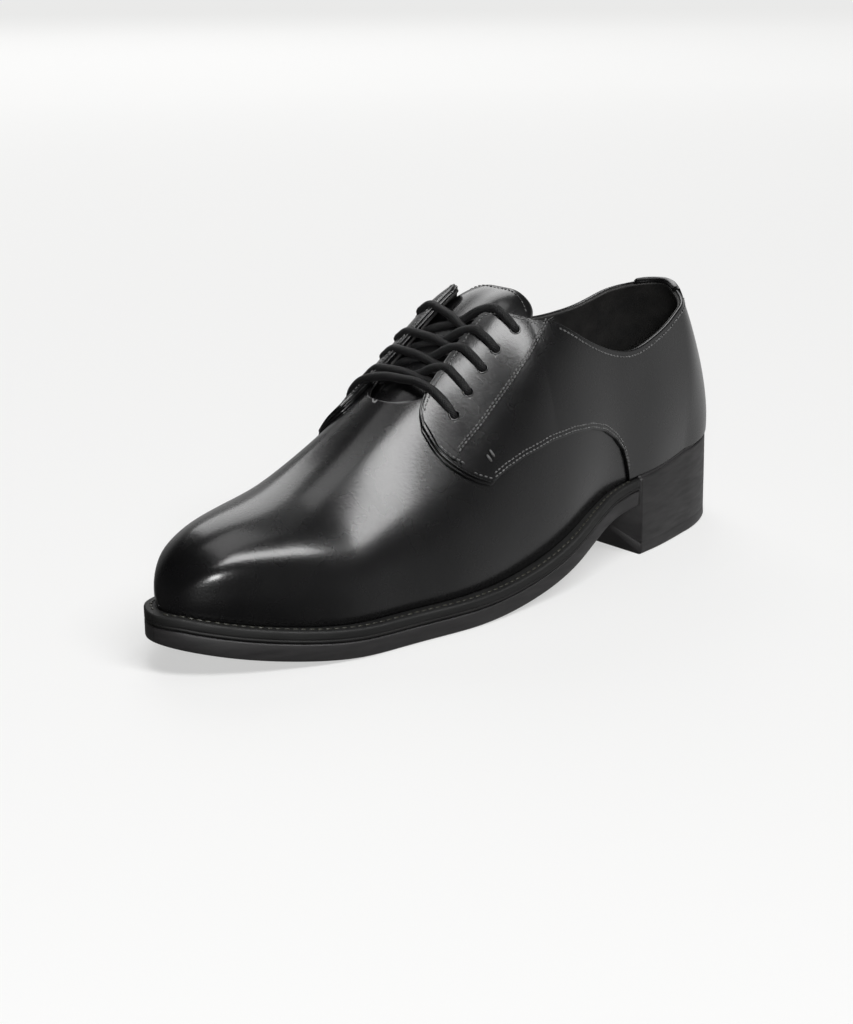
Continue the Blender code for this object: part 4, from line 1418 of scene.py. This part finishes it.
    def insole(self, sock: Material) -> None:
        """Make and dress the sock board inside."""
        last = self.last
        rows: Rows = []
        stations = [9.0 + 6 * (1 - math.cos(math.pi / 2 * k / 8)) for k in range(9)]
        stations += spaced(17, 282, 3.0)
        for s in stations:
            sides = []
            for side in (-1, 1):
                p, n = last.surface(s, side, 0.0), last.normal(s, side, 0.0)
                n = np.array((n[0], n[1], 0.0))
                sides.append(p - n / np.linalg.norm(n) * 2.8)
            a, b = sides
            row = [a + (b - a) * t + np.array((0, 0, 2.5 - 0.5 * (2 * t - 1) ** 8))
                   for t in np.linspace(0, 1, 17)]
            row += [b, a, row[0]]
            rows.append(row)
        dress(strip("sock_board", capped(rows)), sock, "leather_lining", "insole")


@dataclass(frozen=True)
class SoftBox:
    """A soft light: place and aim in metres, size in metres, power in watts, turn in degrees."""

    name: str
    at: tuple
    aim: tuple
    size: tuple
    power: float
    turn: float = 0.0

    def hang(self) -> None:
        """Add the light to the scene."""
        data = bpy.data.lights.new(self.name, "AREA")
        data.shape, data.energy = "RECTANGLE", self.power
        data.size, data.size_y = self.size
        lamp = bpy.data.objects.new(self.name, data)
        bpy.context.scene.collection.objects.link(lamp)
        lamp.location = self.at
        aimed = (Vector(self.aim) - Vector(self.at)).to_track_quat("-Z", "Y").to_matrix()
        lamp.rotation_euler = (aimed @ Matrix.Rotation(math.radians(self.turn), 3, "Z")).to_euler()


@dataclass
class Studio:
    """Pale floor, soft lights and the camera."""

    azimuth: float = 46.657
    elevation: float = 18.395
    distance: float = 0.7001
    lens: float = 61.83
    target: tuple = (-0.004556, -0.011662, 0.028603)
    floor_tone: float = 0.4
    glow: float = 0.41
    lit: float = 0.40
    lit_middle: tuple = (1.2, 0.15, 0.0)
    room_length: tuple = (-0.3, 1.0, 0.04, 0.5)
    room_height: tuple = (0.05, 0.5, 1.0, 0.12)
    boxes: tuple = (
        SoftBox("top_box", (1.72, 0.25, 2.6), (1.72, 0.25, 0.0), (3.3, 0.88), 92, 33.0),
        SoftBox("far_box", (-2.7, 1.7, 2.4), (0.0, 0.0, 0.0), (2.4, 2.2), 36),
        SoftBox("fill_box", (-0.7, 0.1, 2.6), (-0.7, 0.1, 0.0), (1.0, 1.2), 6),
        SoftBox("lens_box", (0.88, -0.86, 0.42), (0.02, -0.08, 0.03), (0.30, 0.30), 6.5))

    def camera(self) -> None:
        """Set the camera at the photograph's angle."""
        data = bpy.data.cameras.new("photo_camera")
        data.lens, data.sensor_width, data.clip_start = self.lens, 36.0, 0.01
        cam = bpy.data.objects.new("photo_camera", data)
        bpy.context.scene.collection.objects.link(cam)
        a, e = math.radians(self.azimuth), math.radians(self.elevation)
        back = Vector((math.sin(a) * math.cos(e), -math.cos(a) * math.cos(e), math.sin(e)))
        cam.location = Vector(self.target) + back * self.distance
        cam.rotation_euler = (-back).to_track_quat("-Z", "Y").to_euler()
        bpy.context.scene.camera = cam

    def floor(self) -> None:
        """Add the plain floor; its own glow keeps it even where the soft box fades."""
        clear_selection()
        bpy.ops.mesh.primitive_grid_add(x_subdivisions=8, y_subdivisions=8, size=60)
        obj = bpy.context.active_object
        obj.name = "studio_floor"
        n = Nodes("studio_floor")
        n.set(Roughness=0.9, Specular_IOR_Level=0.0, Emission_Color=(1, 1, 0.992, 1))
        tone = self.floor_tone
        n.colour(n.noise(3, 2), (tone,) * 3, (tone, tone, tone * 0.995))
        length = n.tree.nodes.new("ShaderNodeVectorMath")
        length.operation = "DISTANCE"
        length.inputs[1].default_value = self.lit_middle
        n.link(n.coords.outputs["Object"], length.inputs[0])
        fade = n.tree.nodes.new("ShaderNodeValToRGB")
        ramp = fade.color_ramp
        for place, share in zip((0.0, 0.125, 0.25, 0.4, 0.6), (0.0, 0.16, 0.45, 0.74, 0.93)):
            stop = ramp.elements[0] if place == 0.0 else ramp.elements.new(place)
            stop.color = (share,) * 3 + (1,)
        n.link(n.ramp(length.outputs["Value"], 0, 1, 0, 8), fade.inputs["Fac"])
        n.link(n.ramp(fade.outputs["Color"], self.glow, self.glow + self.lit, 0, 1),
               n.shader.inputs["Emission Strength"])
        obj.data.materials.append(n.material)
        obj.visible_glossy = False
        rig.stage(obj)

    def light(self) -> None:
        """Add the dim room and the soft boxes."""
        world = bpy.data.worlds.new("studio")
        world.use_nodes = True
        tree = world.node_tree
        coords = tree.nodes.new("ShaderNodeTexCoord")
        split = tree.nodes.new("ShaderNodeSeparateXYZ")
        tree.links.new(coords.outputs["Generated"], split.inputs["Vector"])
        shares = []
        for axis, numbers in (("Y", self.room_length), ("Z", self.room_height)):
            rise = tree.nodes.new("ShaderNodeMapRange")
            rise.interpolation_type = "SMOOTHSTEP"
            for key, number in zip(RANGE_SOCKETS, numbers):
                rise.inputs[key].default_value = number
            tree.links.new(split.outputs[axis], rise.inputs["Value"])
            shares.append(rise.outputs["Result"])
        both = tree.nodes.new("ShaderNodeMath")
        both.operation = "MULTIPLY"
        for k, share in enumerate(shares):
            tree.links.new(share, both.inputs[k])
        tree.links.new(both.outputs["Value"], tree.nodes["Background"].inputs["Strength"])
        tree.nodes["Background"].inputs["Color"].default_value = (1, 1, 1, 1)
        bpy.context.scene.world = world
        for box in self.boxes:
            box.hang()

    def build(self) -> None:
        """Make the whole studio."""
        bpy.context.scene.view_settings.view_transform = "Standard"
        self.camera()
        self.floor()
        self.light()


def box_of() -> list[list[float]]:
    """The shown object's box as plain lists."""
    return [[float(v) for v in corner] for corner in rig.bounds()]


def main() -> None:
    """Build the shoe's pieces in order and report each."""
    logging.basicConfig(level=logging.INFO)
    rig.load()
    cad = box_of()
    last = Last()
    studio = Studio()
    studio.build()
    skin = PolishedLeather().make()
    inside = LiningLeather().make()
    thread = SewingThread().make()
    upper = Upper(last)
    upper.build(skin, inside, thread)
    Tongue(last).build(skin, thread)
    Laces(last, upper.eyelets).build(WaxedLace().make())
    rand = BrushedEdge("welt_edge", (0.003,) * 3, (0.008, 0.008, 0.0075), (0.55, 0.68))
    heel = BrushedEdge("heel_edge", stretch=(70, 70, 300))
    welt = SewingThread("welt_thread", (0.014, 0.014, 0.011), (0.045, 0.044, 0.034))
    Sole(last).build(BrushedEdge().make(), rand.make(), heel.make(), inside, welt.make())
    with open(SIZE_FILE, "w", encoding="utf-8") as out:
        json.dump({"cad": cad, "visual": box_of()}, out)


if __name__ == "__main__":
    main()
